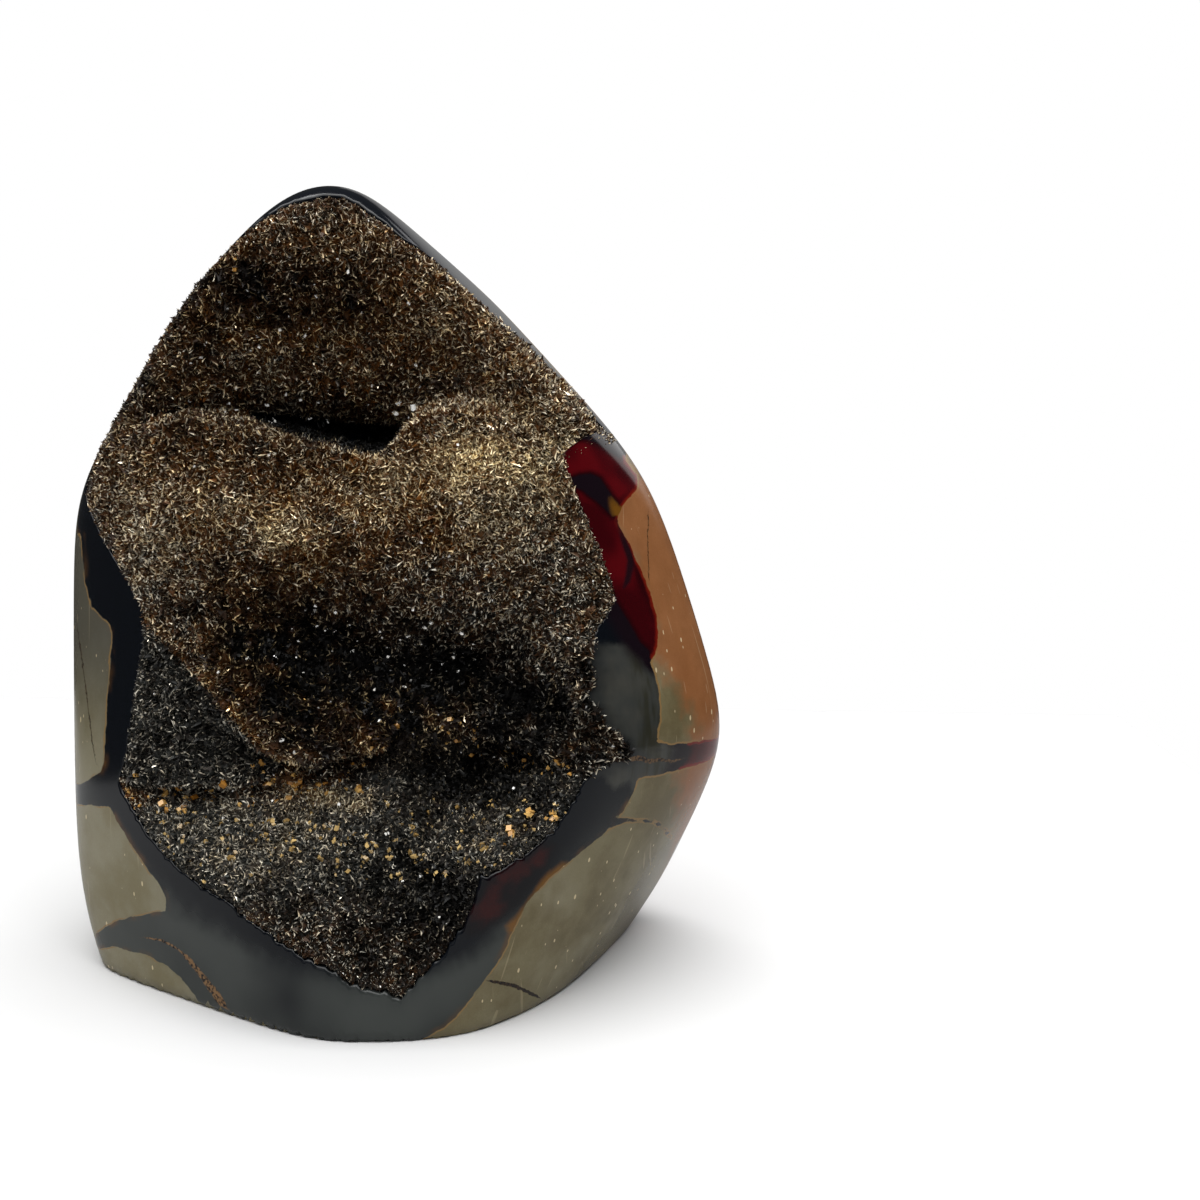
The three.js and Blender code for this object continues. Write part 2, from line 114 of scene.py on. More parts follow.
# Edges where the crust steps back, as (x, z) from left to right.
CROWN_EDGE = ((-48, 84), (-34, 91), (-24, 96.5), (-10, 98.5), (0, 98), (9, 94), (20, 85), (40, 70))
SHELF_EDGE = (
    (-48, 77), (-35, 79), (-25, 79.5), (-15.5, 78), (-6, 75.6), (-0.7, 74.6), (2.5, 77), (6, 80.2),
    (10.7, 81.6), (15, 80.8), (19, 78.8), (24, 76), (40, 74),
)
LOBE_EDGE = (
    (-40, 56), (-31, 53), (-26.5, 49), (-21.5, 40.2), (-15, 36), (-8.3, 34.4), (-3, 36.5), (1, 36),
    (6, 30), (40, 26),
)
FLOOR_EDGE = (
    (-50, 27.5), (-36.5, 28.9), (-18.6, 30.9), (-6, 31.5), (0, 35.5), (5.5, 43), (10.5, 40.5), (17, 37),
    (28, 35), (40, 35),
)

# ---- The polished pattern, drawn as seen from the eye on an upright plane through the front ----

EYE = np.array((29.9, -226.0, 90.0))
PLANE_Y = -28.0
EYE_PITCH, EYE_ROLL = 9.2, 0.93
LENS, SENSOR = 47.4, 36

# Plates of mudstone. All the rest of the polished front is dark calcite.
PLATES = (
    ((-39.6, 67), (-35.8, 65.4), (-35.5, 60.4), (-34.7, 56), (-32.5, 53.8), (-32.2, 52.6), (-32.5, 49.3),
     (-33.2, 43), (-33.8, 35.5), (-34.3, 34.3), (-36.8, 32.8), (-46, 30.6), (-52, 50)),
    ((-46, 28.6), (-37.8, 30), (-35.6, 29.9), (-33.3, 29.7), (-32.5, 27.9), (-29.8, 23.2), (-27.3, 19.5),
     (-26.3, 17.7), (-26.4, 15.7), (-27.8, 15.4), (-30.3, 14.9), (-33.3, 14), (-35, 12.8), (-42, 8)),
    ((-40, 8.6), (-35.1, 10.3), (-33.4, 10.6), (-31, 9.9), (-28.5, 9.3), (-26.6, 8.2), (-24.7, 6.4),
     (-23, 4.2), (-20, -1), (-33, -6)),
    ((4.5, -5), (7, -1.7), (10, -0.1), (12.8, 3.1), (15.5, 6.7), (17.7, 10.2), (18.8, 13.1), (21, 17.6),
     (23.3, 20.5), (25.8, 22.7), (28.7, 25.2), (31.7, 28), (34, 28.9), (37.4, 28.7), (38.5, 27.9),
     (40.8, 25.1), (50, 18.4), (36.1, -4), (20.2, -9)),
    ((32.4, 29.3), (33.3, 30.1), (34, 31.2), (34.7, 33), (35.1, 34.6), (37.9, 35.3), (41.1, 36), (44, 37.1),
     (45.9, 38.7), (54, 40.5), (52, 27.9), (42.2, 25), (40.8, 25.4), (38.7, 28.2), (37.4, 29.1)),
    ((37.4, 39.4), (37.5, 41), (37.9, 42.4), (37.7, 45.1), (37.4, 46.9), (36.4, 50.1), (37.1, 51.2),
     (37.5, 53.9), (37, 56.6), (35.9, 60.1), (34.1, 64), (32.8, 66.3), (31.8, 68), (32.4, 69.8),
     (34.2, 71.9), (34.4, 73.9), (32.9, 75.5), (32.5, 78.2), (46, 76), (56, 53), (56, 41.8), (45.9, 40.3),
     (43.1, 39.7), (39.9, 39.2)),
)

# Lobes of deep red calcite.
RED_LOBES = (
    ((24.4, 75.3), (24.8, 76.9), (26.2, 78.1), (27.8, 78.3), (29.2, 77.8), (30.3, 77.2), (31.6, 76.3),
     (32.9, 75.5), (33.8, 74.6), (34.4, 73.6), (34.4, 72.5), (33.9, 71.7), (33.2, 71.1), (32.5, 70.5),
     (31.8, 70.3), (31.2, 71.1), (30.4, 72.3), (29.7, 73.4), (28.6, 73.9), (27.4, 73.8), (26.3, 73.4),
     (25.3, 73.1)),
    ((26.2, 72.4), (27.5, 71.9), (28.4, 71.1), (29.3, 70.5), (30.2, 69.7), (31.1, 68.8), (31.8, 68),
     (32.5, 66.8), (33.6, 64.9), (34.9, 61.2), (36.5, 57.4), (37.3, 54.8), (37.3, 52.6), (36.8, 50.9),
     (35.1, 52.5), (33.5, 55.2), (31.8, 58), (29.8, 61.8), (28.3, 65.6), (26.9, 69.4)),
    ((42.4, 40.6), (52, 43), (52, 35), (41.9, 35), (40.9, 36.2), (41.5, 37.7)),
)

# Golden calcite beside the lobes and along the plate at the right foot.
GOLDEN = (
    ((30.8, 71.1), (31.3, 70.9), (32, 70.3), (32.6, 69.9), (32.5, 68.8), (32, 67.9), (31.5, 68.7),
     (31, 69.8)),
    ((18.1, 14.1), (20.1, 16.3), (21.6, 18.7), (23.4, 21.3), (25.5, 23.2),
     (26.8, 23), (24.2, 20.2), (22.2, 17.4), (20.3, 14.7), (19, 13)),
)

# Mudstone that shows orange at the right, calcite clouded grey, and a painted reflection in the same grey
# beside the upper red lobe.
ORANGE_OUTLINE = (
    (31.2, 70.7), (34.7, 73.5), (36.5, 74.5), (60, 60), (60, 28), (45.5, 21.1), (41.1, 26.5), (41.7, 31.2),
    (41.1, 35.6), (43.1, 39.6), (42.9, 42.3), (41.9, 45.1), (40.3, 47.3), (38.7, 49.3), (37.9, 51.3),
    (37, 51.3), (37.1, 55.5), (34.9, 61.9),
)
CLOUDY_CALCITE_AND_REFLECTION = (
    ((30, 52.8), (33.2, 52.2), (36.1, 51.3), (36.7, 50), (37.5, 46.4), (37.7, 39.1), (41.8, 39.3), (41, 36.1),
     (37.4, 35.1), (32.2, 33), (29, 35.7), (25, 39.6), (26.3, 44.9), (26.8, 50.1), (28.1, 52.7)),
    # A painted reflection, drawn in the same grey, beside the upper red lobe.
    ((28.1, 78.1), (29.1, 79.4), (31.1, 79.6), (33, 79.6), (35.3, 77.6), (36.5, 74.5), (36, 72), (34.7, 73.3),
     (33.8, 74.6), (32.9, 75.5), (31.6, 76.3), (30.3, 77.2), (29.2, 77.8)),
)

# Clear dark red calcite beside the rim.
CLEAR_RED = (
    ((12.9, 13), (13.2, 17.2), (14.8, 19.9), (17, 22.1), (19.7, 24.4), (22.6, 26.4), (24.7, 25.5),
     (23.7, 22.4), (21.1, 18.7), (18.1, 15.5), (15.5, 13.5)),
)

# The dark crescent in the lower red lobe, the black gap over the shelf, which is painted shade, and the bare
# wall of grey crystals beside the hanging lobe.
CRESCENT = (
    (31.7, 68.4), (33, 65.9), (33.8, 63.8), (34, 62.4), (33.6, 60.4), (32.9, 59.6),
    (33.2, 61.2), (33.4, 63.2), (32.8, 64.8), (32.1, 67),
)
GAP = (
    (-15, 80.2), (-12.6, 79.5), (-9.2, 77.9), (-6, 77.1), (-2.3, 76.2), (1.1, 75.5), (2.3, 75.4),
    (3.6, 76.8), (5.5, 79), (4.1, 80), (-2.3, 80.2), (-9.7, 81), (-13, 81.3),
)
GREY_WALL = (
    (-32.1, 55.6), (-29.6, 54.6), (-27.4, 52.9), (-25.2, 50.3), (-21.7, 47.2), (-19, 43.9),
    (-16.2, 40.6), (-13.4, 37.6), (-9.8, 35.7), (-14.4, 33.7), (-30.6, 32.3), (-34.7, 43.9),
)

# Thin cracks and seams: half width at the start and at the end, tone (0 black, 1 tan), then the route.
CRACKS = (
    (0.07, 0.07, 0.2, ((-36.8, 54.5), (-36.3, 50.4), (-35.7, 43.8), (-35.3, 38.6), (-34.8, 35.3))),
    (0.1, 0.2, 0.9, ((-29.4, 12), (-27, 11.6), (-24.6, 10.2))),
    (0.2, 0.6, 0.9, ((-25, 10.6), (-23.2, 8.6), (-21.6, 6.4), (-20.2, 4.4), (-18.8, 2.2))),
    (0.25, 0.25, 0.1, ((15.8, 6.8), (19.4, 6.1), (22.9, 4.4))),
    (0.07, 0.07, 0.4, ((35.8, 69.6), (35.8, 65.1), (36.1, 60.2))),
    (0.4, 0.14, 0.45, ((32.4, 37.5), (33.6, 37.1), (35.4, 37.4), (36.6, 36.9), (37.7, 37.2), (39.6, 37),
                       (41.2, 37.4))),
)
CRACK_REACH = 1.6
# Shares of a crack's length over which it opens at its start and closes at its end.
CRACK_OPENS, CRACK_CLOSES = (-0.02, 0.12), (1.02, 0.88)

# Middles of the mudstone plates on the sides, the back and the base, between which veins run.
PLATE_MIDDLES = np.array((
    (-50, -5, 52), (-46, 4, 1), (-30, 30, 78), (-34, 34, 38), (-12, 38, 60), (-4, 36, 18), (18, 34, 44),
    (10, 30, 90), (38, 20, 66), (40, 18, 24), (50, -8, 56), (46, -6, 7), (-6, 6, 116), (-18, 0, -6),
    (16, 4, -8), (-30, 8, 100), (26, 8, 98),
), float)
VEIN_WIDTH, VEIN_SWELL, VEIN_SLOPE = 2.6, 0.55, 1.15
# How the veins bend: how far, over what size, and the phase of the waves.
VEIN_BENDS = ((1.8, 17, 0.7), (0.7, 6, 0))
# Where the red end of the right vein lies on the side, and how far it reaches. The orange fades to the left.
VEIN_END, VEIN_END_REACH = np.array((46, -6, 31)), 9
ORANGE_FADE = 9
# The drawn pattern holds where the skin faces the eye: from none to all over SEEN_FROM, and lobes and cracks
# only where more than these shares of it hold. FAR_OUT is the distance stored where it doesn't reach.
SEEN_FROM, RED_SEEN, CRACK_SEEN = (0.0, 0.16), 0.3, 0.2
FAR_OUT = -5

# ---- Places of single crystals, as seen from the eye ----

AMBER_PLACES = (
    (-30.9, 31.9), (-25.5, 32.1), (-24.1, 32.4), (-21.2, 31.2), (-18, 32.7), (-14.2, 35.9), (-13.4, 37.2),
    (-12.2, 33.8), (-8.7, 33.4), (-5.8, 32.8), (-0.3, 32.5), (-25.9, 29.9), (21.5, 36.6), (25.1, 36.9),
    (27.6, 37.8), (20.9, 29), (23.7, 29.7), (18.7, 26.9), (23.8, 27), (-17.9, 100.6), (-15.9, 99.2),
    (2.3, 103.9),
)
PALE_PLACES = (
    (-24.5, 26.2), (-12.6, 28.1), (-2.8, 29.2), (-0.1, 25.1), (0.8, 24.8), (-10.5, 23.7), (-13.6, 23.7),
    (-17.9, 23.4), (13.9, 26.6), (16.5, 27.5), (15.3, 24.5),
)
# White crystals whose glow is a painted glint.
WHITE_PLACES = (
    (-16.2, 81), (-14, 80.5), (-11.6, 79.6), (-6.7, 80.4), (-3.8, 79.7), (4.2, 81.5), (5.9, 81.6),
    (-12.9, 75.6), (2.4, 70.3),
)

# ---- Mesh steps ----

STONE_COLUMNS = 560
STONE_BANDS = 118
FRONT_CROWDING = 1.2
LIP_WIDTH = 0.35
FAR_FROM_RIM = 99
FLOOR_RINGS = 18
SEAT_DEPTH = 2.9
CRUST_RINGS = 112
BACK_STEP = 4
CRUST_THICKNESS = 2.2
SPOT_REACH, AS_CLOSE = 0.7, 0.35
MIDDLE_STRETCH = 0.35

# The crust's own surface: gentle waves (height, size, phase) that end near the rim, and grains on them.
BED_WAVES = ((0.3, 3.4, 0.4), (0.22, 1.7, 1.9))
BED_CALM_SHARE = 0.93
GRAIN_HEIGHT, GRAIN_LEAST, GRAIN_SPREAD, GRAIN_SHIFT = 0.42, 0.4, 1.2, 0.15


# ================= Small tools =================

def smooth_step(low, high, value):
    t = np.clip((value - low) / (high - low), 0, 1)
    return t * t * (3 - 2 * t)


def along_line(corners, x):
    xs, zs = np.array(corners, float).T
    return np.interp(x, xs, zs)


def scatter(a, b):
    """A repeatable number from 0 to 1 for each pair of whole numbers."""
    wave = np.sin(a * 127.1 + b * 311.7) * 43758.5453
    return wave - np.floor(wave)


def ripple(points, size, phase):
    """Smooth uneven waves from -1 to 1 with hills about `size` apart."""
    total = 0
    for k in range(3):
        turn = phase + 2.1 * k
        way = np.array((math.cos(turn), math.sin(1.7 * turn), math.sin(turn)))
        side = np.array((math.sin(2.3 * turn), math.cos(turn), math.cos(1.3 * turn)))
        along = np.sin(points @ way * 6.28 / size + turn)
        crossing = np.sin(points @ side * 5.1 / size + 2 * turn)
        total = total + along * crossing
    return total / 3


def unit(vectors):
    return vectors / np.maximum(np.linalg.norm(vectors, axis=-1, keepdims=True), 1e-9)


# ================= Shape =================

FLAT_WAYS = np.stack((
    np.cos(FLATS[:, 1] * DEGREE) * np.cos(FLATS[:, 0] * DEGREE),
    np.cos(FLATS[:, 1] * DEGREE) * np.sin(FLATS[:, 0] * DEGREE),
    np.sin(FLATS[:, 1] * DEGREE),
), 1)
FLAT_REACHES = FLATS[:, 2]


def direction(opening, turn):
    return np.stack((np.sin(opening) * np.cos(turn), -np.cos(opening), np.sin(opening) * np.sin(turn)), -1)


def skin_reach(ways):
    """Distance from the heart to the polished skin: the flats, joined with soft edges."""
    slopes = ways @ FLAT_WAYS.T
    ahead = np.where(slopes > 1e-3, FLAT_REACHES / np.maximum(slopes, 1e-3), 1e6)
    reach = ahead.min(-1)
    for _ in range(12):
        excess = (reach[..., None] * slopes - FLAT_REACHES) / EDGE_SOFTNESS
        weights = np.exp(excess)
        total = weights.sum(-1)
        reach = reach - EDGE_SOFTNESS * np.log(total) * total / (weights * slopes).sum(-1)
    return reach


def skin_points(opening, turn):
    """Points on the skin, cut off flat at z = 0 with a slightly rounded edge."""
    ways = direction(opening, turn)
    reach = skin_reach(ways)
    down = ways[..., 2] < -1e-3
    to_ground = np.where(down, HEART[2] / np.maximum(-ways[..., 2], 1e-3), 1e3)
    rounding = BASE_SOFTNESS * np.log1p(np.exp(-np.abs(reach - to_ground) / BASE_SOFTNESS))
    reach = np.minimum(reach, to_ground) - rounding
    points = HEART + reach[..., None] * ways
    points[..., 2] = np.maximum(points[..., 2], 0)
    return points


def ragged(turn):
    return RIM_RAGGEDNESS * DEGREE * sum(np.sin(waves * turn + waves) for waves in RIM_WAVES)


def turned(turn, share):
    """The true turn of a point that lies a share of the way out to the rim."""
    places, shifts = np.array(RIM_SHIFTS).T
    return turn + np.interp(turn / DEGREE, places, shifts) * DEGREE * share ** SHIFT_SHARPNESS


def sharp_mouth(turn):
    degrees = np.mod(turn / DEGREE, 360)
    turns = np.concatenate(([MOUTH[-1, 0] - 360], MOUTH[:, 0], [MOUTH[0, 0] + 360]))
    angles = np.concatenate(([MOUTH[-1, 1]], MOUTH[:, 1], [MOUTH[0, 1]]))
    return np.interp(degrees, turns, angles) * DEGREE


def soft_mouth(turn):
    offsets = MOUTH_SMOOTHING * DEGREE * np.linspace(-1, 1, MOUTH_SAMPLES)
    return sum(sharp_mouth(turn + offset) for offset in offsets) / MOUTH_SAMPLES


def opening_at(share, turn):
    soft = soft_mouth(turn)
    return share * soft + (sharp_mouth(turn) + ragged(turn) - soft) * share ** CORNER_SHARPNESS


def swell_depth(swells, x, z):
    total = 0
    for middle_x, middle_z, wide, high, turn, deep in swells:
        c, s = math.cos(turn * DEGREE), math.sin(turn * DEGREE)
        across = ((x - middle_x) * c + (z - middle_z) * s) / wide
        up = ((z - middle_z) * c - (x - middle_x) * s) / high
        total = total + deep * np.exp(-across * across - up * up)
    return total


def relief_depth(x, z, share):
    """How far the crust's face lies behind the skin. share is 1 at the rim."""
    rim = smooth_step(1, UPPER_RISE, share)
    near_rim = smooth_step(1, SWELL_RISE, share)
    fade = 1 - CROWN_FADE * smooth_step(*CROWN_FADE_PLACES, x)
    under_crown = fade * smooth_step(-CROWN_STEP, CROWN_STEP, along_line(CROWN_EDGE, x) - z)
    upper = rim * (UPPER_DEPTH + CROWN_DEPTH * under_crown + swell_depth(UPPER_SWELLS, x, z))
    middle = BROW_DEPTH * smooth_step(1, BROW_RISE, share) + near_rim * swell_depth(MIDDLE_SWELLS, x, z)
    middle = middle + MIDDLE_LEAN * rim * smooth_step(*MIDDLE_LEAN_HEIGHTS, z)
    wall_lean = WALL_DEPTH + WALL_LEAN * smooth_step(*WALL_LEAN_HEIGHTS, z)
    low_wall = smooth_step(1, WALL_RISE, share) * wall_lean
    floor_lean = SILL_DEPTH + FLOOR_LEAN * smooth_step(*FLOOR_LEAN_HEIGHTS, z)
    floor = near_rim * (floor_lean + swell_depth(FLOOR_SWELLS, x, z))
    over_lobe = smooth_step(-STEP_WIDTH, STEP_WIDTH, z - along_line(LOBE_EDGE, x))
    over_floor = smooth_step(-STEP_WIDTH, STEP_WIDTH, z - along_line(FLOOR_EDGE, x))
    over_shelf = smooth_step(-STEP_WIDTH, STEP_WIDTH, z - along_line(SHELF_EDGE, x))
    wall = middle * over_lobe + low_wall * (1 - over_lobe)
    lower = wall * over_floor + floor * (1 - over_floor)
    return CRUST_RECESS + lower * (1 - over_shelf) + upper * over_shelf


def hollow_places(share, turn, behind):
    """Points at a distance behind the crust's face, with the way in from there."""
    opening = opening_at(share, turn)
    ways = direction(opening, turned(turn, share))
    skin = HEART + skin_reach(ways)[..., None] * ways
    angle = opening / DEGREE
    near = smooth_step(*RIM_TURN, angle) * smooth_step(*RIM_SHARE, share)
    heartward = np.maximum(near, smooth_step(*SIDE_TURN, angle))[..., None]
    inward = unit(FRONT * (1 - heartward) - ways * heartward)
    lump = np.sin(skin[..., 0] / LUMP_WIDTH + 1) * np.sin(skin[..., 2] / LUMP_LENGTH)
    depth = relief_depth(skin[..., 0], skin[..., 2], share)
    depth = depth + LUMP_HEIGHT * lump * smooth_step(1, LUMP_RISE, share) + behind
    return skin + inward * depth[..., None], inward


def as_seen(points):
    """Where points appear, as (x, z) on the upright plane through the front."""
    rays = points - EYE
    scale = (PLANE_Y - EYE[1]) / rays[..., 1]
    return (EYE + rays * scale[..., None])[..., (0, 2)]


# ================= Meshes =================

def make_object(name, points, faces, smooth):
    mesh = bpy.data.meshes.new(name)
    mesh.from_pydata((points * MM).tolist(), [], faces)
    mesh.validate()
    if smooth:
        mesh.shade_smooth()
    else:
        mesh.shade_flat()
    piece = bpy.data.objects.new(name, mesh)
    bpy.context.scene.collection.objects.link(piece)
    return piece


def add_attribute(piece, name, values, kind="FLOAT"):
    attribute = piece.data.attributes.new(name, kind, "POINT")
    field = "vector" if kind == "FLOAT_VECTOR" else "value"
    attribute.data.foreach_set(field, np.asarray(values, np.int32 if kind == "INT" else np.float32).ravel())


def ring_grid_faces(rings, columns, first):
    """Quads between full rings of points, wound so that they face the way that the turn's screw points."""
    k = np.arange(rings - 1)[:, None] * columns + first
    i = np.arange(columns)[None, :]
    j = (i + 1) % columns
    quads = np.stack((k + i, k + columns + i, k + columns + j, k + j), -1)
    return quads.reshape(-1, 4).tolist()


def build_stone():
    """The stone, its points, and how far each lies from the rim of the hollow."""
    turn = np.arange(STONE_COLUMNS) * 2 * math.pi / STONE_COLUMNS
    rim = sharp_mouth(turn) + ragged(turn)
    along = (np.arange(STONE_BANDS)[:, None] / STONE_BANDS) ** FRONT_CROWDING
    openings = rim + (math.pi - rim) * along
    skin = skin_points(openings, turned(turn[None, :], 1 - along))

    shares = np.linspace(1, 0, FLOOR_RINGS + 1)[:-1]
    share_grid = np.broadcast_to(shares[:, None], (FLOOR_RINGS, STONE_COLUMNS))
    floor, _ = hollow_places(share_grid, np.broadcast_to(turn, share_grid.shape), SEAT_DEPTH)
    lip = skin[0] + unit(floor[0] - skin[0]) * LIP_WIDTH
    middle, _ = hollow_places(np.zeros(1), np.zeros(1), SEAT_DEPTH)
    back = skin_points(np.array([math.pi]), np.zeros(1))

    rings = np.concatenate((floor[::-1], lip[None], skin))
    points = np.concatenate((rings.reshape(-1, 3), middle, back))
    count = rings.shape[0]
    faces = ring_grid_faces(count, STONE_COLUMNS, 0)
    middle_at = count * STONE_COLUMNS
    back_at = middle_at + 1
    last = (count - 1) * STONE_COLUMNS
    for i in range(STONE_COLUMNS):
        j = (i + 1) % STONE_COLUMNS
        faces.append((middle_at, i, j))
        faces.append((last + j, last + i, back_at))
    piece = make_object("polished_nodule", points, faces, True)
    in_hollow = np.zeros((FLOOR_RINGS + 1, STONE_COLUMNS))
    rim_away = np.concatenate((in_hollow, np.linalg.norm(skin - skin[0], axis=2)))
    return piece, points, np.concatenate((rim_away.ravel(), (0, FAR_FROM_RIM)))


def ring_start(ring):
    return 0 if ring == 0 else 1 + 3 * ring * (ring - 1)


def lattice_places(rings):
    """Share of the way out, turn, ring and place in the ring for each point of a round lattice."""
    ring = np.concatenate(([0], np.repeat(np.arange(1, rings + 1), 6 * np.arange(1, rings + 1))))
    place = np.concatenate(([0], *(np.arange(6 * k) for k in range(1, rings + 1))))
    even = ring / rings
    share = CRUST_SPAN * even * (1 + MIDDLE_STRETCH * (1 - even))
    turn = 2 * math.pi * place / np.maximum(6 * ring, 1)
    return share, turn, ring, place


def lattice_colours(ring, place):
    """One of three colours for each lattice point, and no two neighbours share one."""
    sides = np.array(((1, 0), (0, 1), (-1, 1), (-1, 0), (0, -1), (1, -1)))
    safe = np.maximum(ring, 1)
    sector, step = place // safe, place % safe
    corner, way = sides[sector % 6], sides[(sector + 2) % 6]
    q = ring * corner[:, 0] + step * way[:, 0]
    r = ring * corner[:, 1] + step * way[:, 1]
    return np.mod(q - r, 3)


def lattice_faces(rings):
    faces = []
    for ring in range(1, rings + 1):
        outer, inner = ring_start(ring), ring_start(ring - 1)
        inner_count = max(1, 6 * (ring - 1))
        for sector in range(6):
            for step in range(ring):
                a = outer + sector * ring + step
                b = outer + (sector * ring + step + 1) % (6 * ring)
                c = inner + (sector * (ring - 1) + step) % inner_count
                faces.append((a, b, c))
                if step < ring - 1:
                    faces.append((b, inner + (sector * (ring - 1) + step + 1) % inner_count, c))
    return faces


def point_normals(points, faces):
    corners = np.array(faces)
    a, b, c = (points[corners[:, k]] for k in range(3))
    face_normals = np.cross(b - a, c - a)
    normals = np.zeros_like(points)
    for k in range(3):
        np.add.at(normals, corners[:, k], face_normals)
    return unit(normals)


def edge_faces(front, back):
    """Closes the gap between a fine ring and a coarse ring that has every BACK_STEP-th of its points."""
    faces = []
    for i in range(len(back)):
        b0, b1 = back[i], back[(i + 1) % len(back)]
        f = [front[(BACK_STEP * i + k) % len(front)] for k in range(BACK_STEP + 1)]
        half = BACK_STEP // 2
        faces += [(f[k], b0, f[k + 1]) for k in range(half)]
        faces.append((f[half], b0, b1))
        faces += [(f[k], b1, f[k + 1]) for k in range(half, BACK_STEP)]
    return faces


def build_crust():
    """The crust: a face of grown-together crystal points over a plain back."""
    share, turn, ring, place = lattice_places(CRUST_RINGS)
    lift = CRUST_LIFT + RIM_LIFT * smooth_step(*RIM_LIFT_SHARE, share)
    face, _ = hollow_places(share, turn, -lift)
    faces = lattice_faces(CRUST_RINGS)
    normals = point_normals(face, faces)
    swell = sum(high * ripple(face, size, phase) for high, size, phase in BED_WAVES)
    calm = smooth_step(1, BED_CALM_SHARE, ring / CRUST_RINGS)
    face = face + normals * (swell * calm)[:, None]
    tips = (lattice_colours(ring, place) == 0) & (ring < CRUST_RINGS)
    height = GRAIN_HEIGHT * (GRAIN_LEAST + GRAIN_SPREAD * scatter(ring, place)) * tips
    side = GRAIN_SHIFT * (2 * np.stack([scatter(place + k, ring + 31) for k in (0, 57, 113)], 1) - 1)
    face = face + normals * height[:, None] + side * tips[:, None]

    back_rings = CRUST_RINGS // BACK_STEP
    back_share, back_turn, _, _ = lattice_places(back_rings)
    back, _ = hollow_places(back_share, back_turn, CRUST_THICKNESS)
    back_faces = [(a + len(face), c + len(face), b + len(face)) for a, b, c in lattice_faces(back_rings)]
    front_ring = list(range(ring_start(CRUST_RINGS), len(face)))
    back_ring = list(range(len(face) + ring_start(back_rings), len(face) + len(back)))
    points = np.concatenate((face, back))
    all_faces = faces + back_faces + edge_faces(front_ring, back_ring)
    piece = make_object("crystal_druse", points, all_faces, False)
    return piece, points, np.concatenate((share, np.full(len(back), -1)))


# ================= Patterns stored on the points =================

def signed_distance(outline, at):
    """Distance in the front view from an outline, positive inside it."""
    corners = np.array(outline, float)
    nearest = np.full(len(at), 1e9)
    inside = np.zeros(len(at), bool)
    for a, b in zip(corners, np.roll(corners, -1, 0)):
        side = b - a
        t = np.clip(((at - a) @ side) / (side @ side), 0, 1)
        nearest = np.minimum(nearest, np.linalg.norm(at - a - t[:, None] * side, axis=1))
        crosses = (a[1] > at[:, 1]) != (b[1] > at[:, 1])
        x = a[0] + (at[:, 1] - a[1]) * side[0] / (side[1] if side[1] else 1e-9)
        inside ^= crosses & (at[:, 0] < x)
    return np.where(inside, nearest, -nearest)


def within(outlines, at):
    """Distance into whichever of several outlines a point lies in."""
    return np.max([signed_distance(outline, at) for outline in outlines], axis=0)


def crack_lines(at):
    """For the nearest crack: signed distance across it, its half width, and its tone."""
    best = np.full(len(at), 1e9)
    across = np.full(len(at), CRACK_REACH)
    ends = np.zeros(len(at))
    width = np.zeros(len(at))
    tone = np.zeros(len(at))
    for start_width, end_width, crack_tone, route in CRACKS:
        corners = np.array(route, float)
        lengths = np.linalg.norm(np.diff(corners, axis=0), axis=1)
        travelled = 0
        for a, b, length in zip(corners, corners[1:], lengths):
            side = (b - a) / length
            free = (at - a) @ side
            t = np.clip(free, 0, length)
            away = at - a - t[:, None] * side
            distance = np.linalg.norm(away, axis=1)
            sign = np.sign(side[0] * (at - a)[:, 1] - side[1] * (at - a)[:, 0])
            closer = distance < best
            share = (travelled + free) / lengths.sum()
            taper = smooth_step(*CRACK_OPENS, share) * smooth_step(*CRACK_CLOSES, share)
            best = np.where(closer, distance, best)
            across = np.where(closer, sign * distance, across)
            ends = np.where(closer, taper, ends)
            width = np.where(closer, start_width + (end_width - start_width) * np.clip(share, 0, 1), width)
            tone = np.where(closer, crack_tone, tone)
            travelled += length
    sure = ends * smooth_step(CRACK_REACH, 0.6 * CRACK_REACH, best)
    return across, width * sure, tone


def vein_network(points):
    """Distance into the veins that run between the plates of the sides, the back and the base."""
    bends = [
        sum(much * ripple(points, size, phase + k) for much, size, phase in VEIN_BENDS) for k in range(3)]
    wavy = points + np.stack(bends, 1)
    away = np.sort(np.linalg.norm(wavy[:, None] - PLATE_MIDDLES, axis=2), axis=1)
    half = (away[:, 1] - away[:, 0]) / 2
    width = VEIN_WIDTH * (1 + VEIN_SWELL * ripple(points, 31, 2.2))
    return width / 2 - half * VEIN_SLOPE


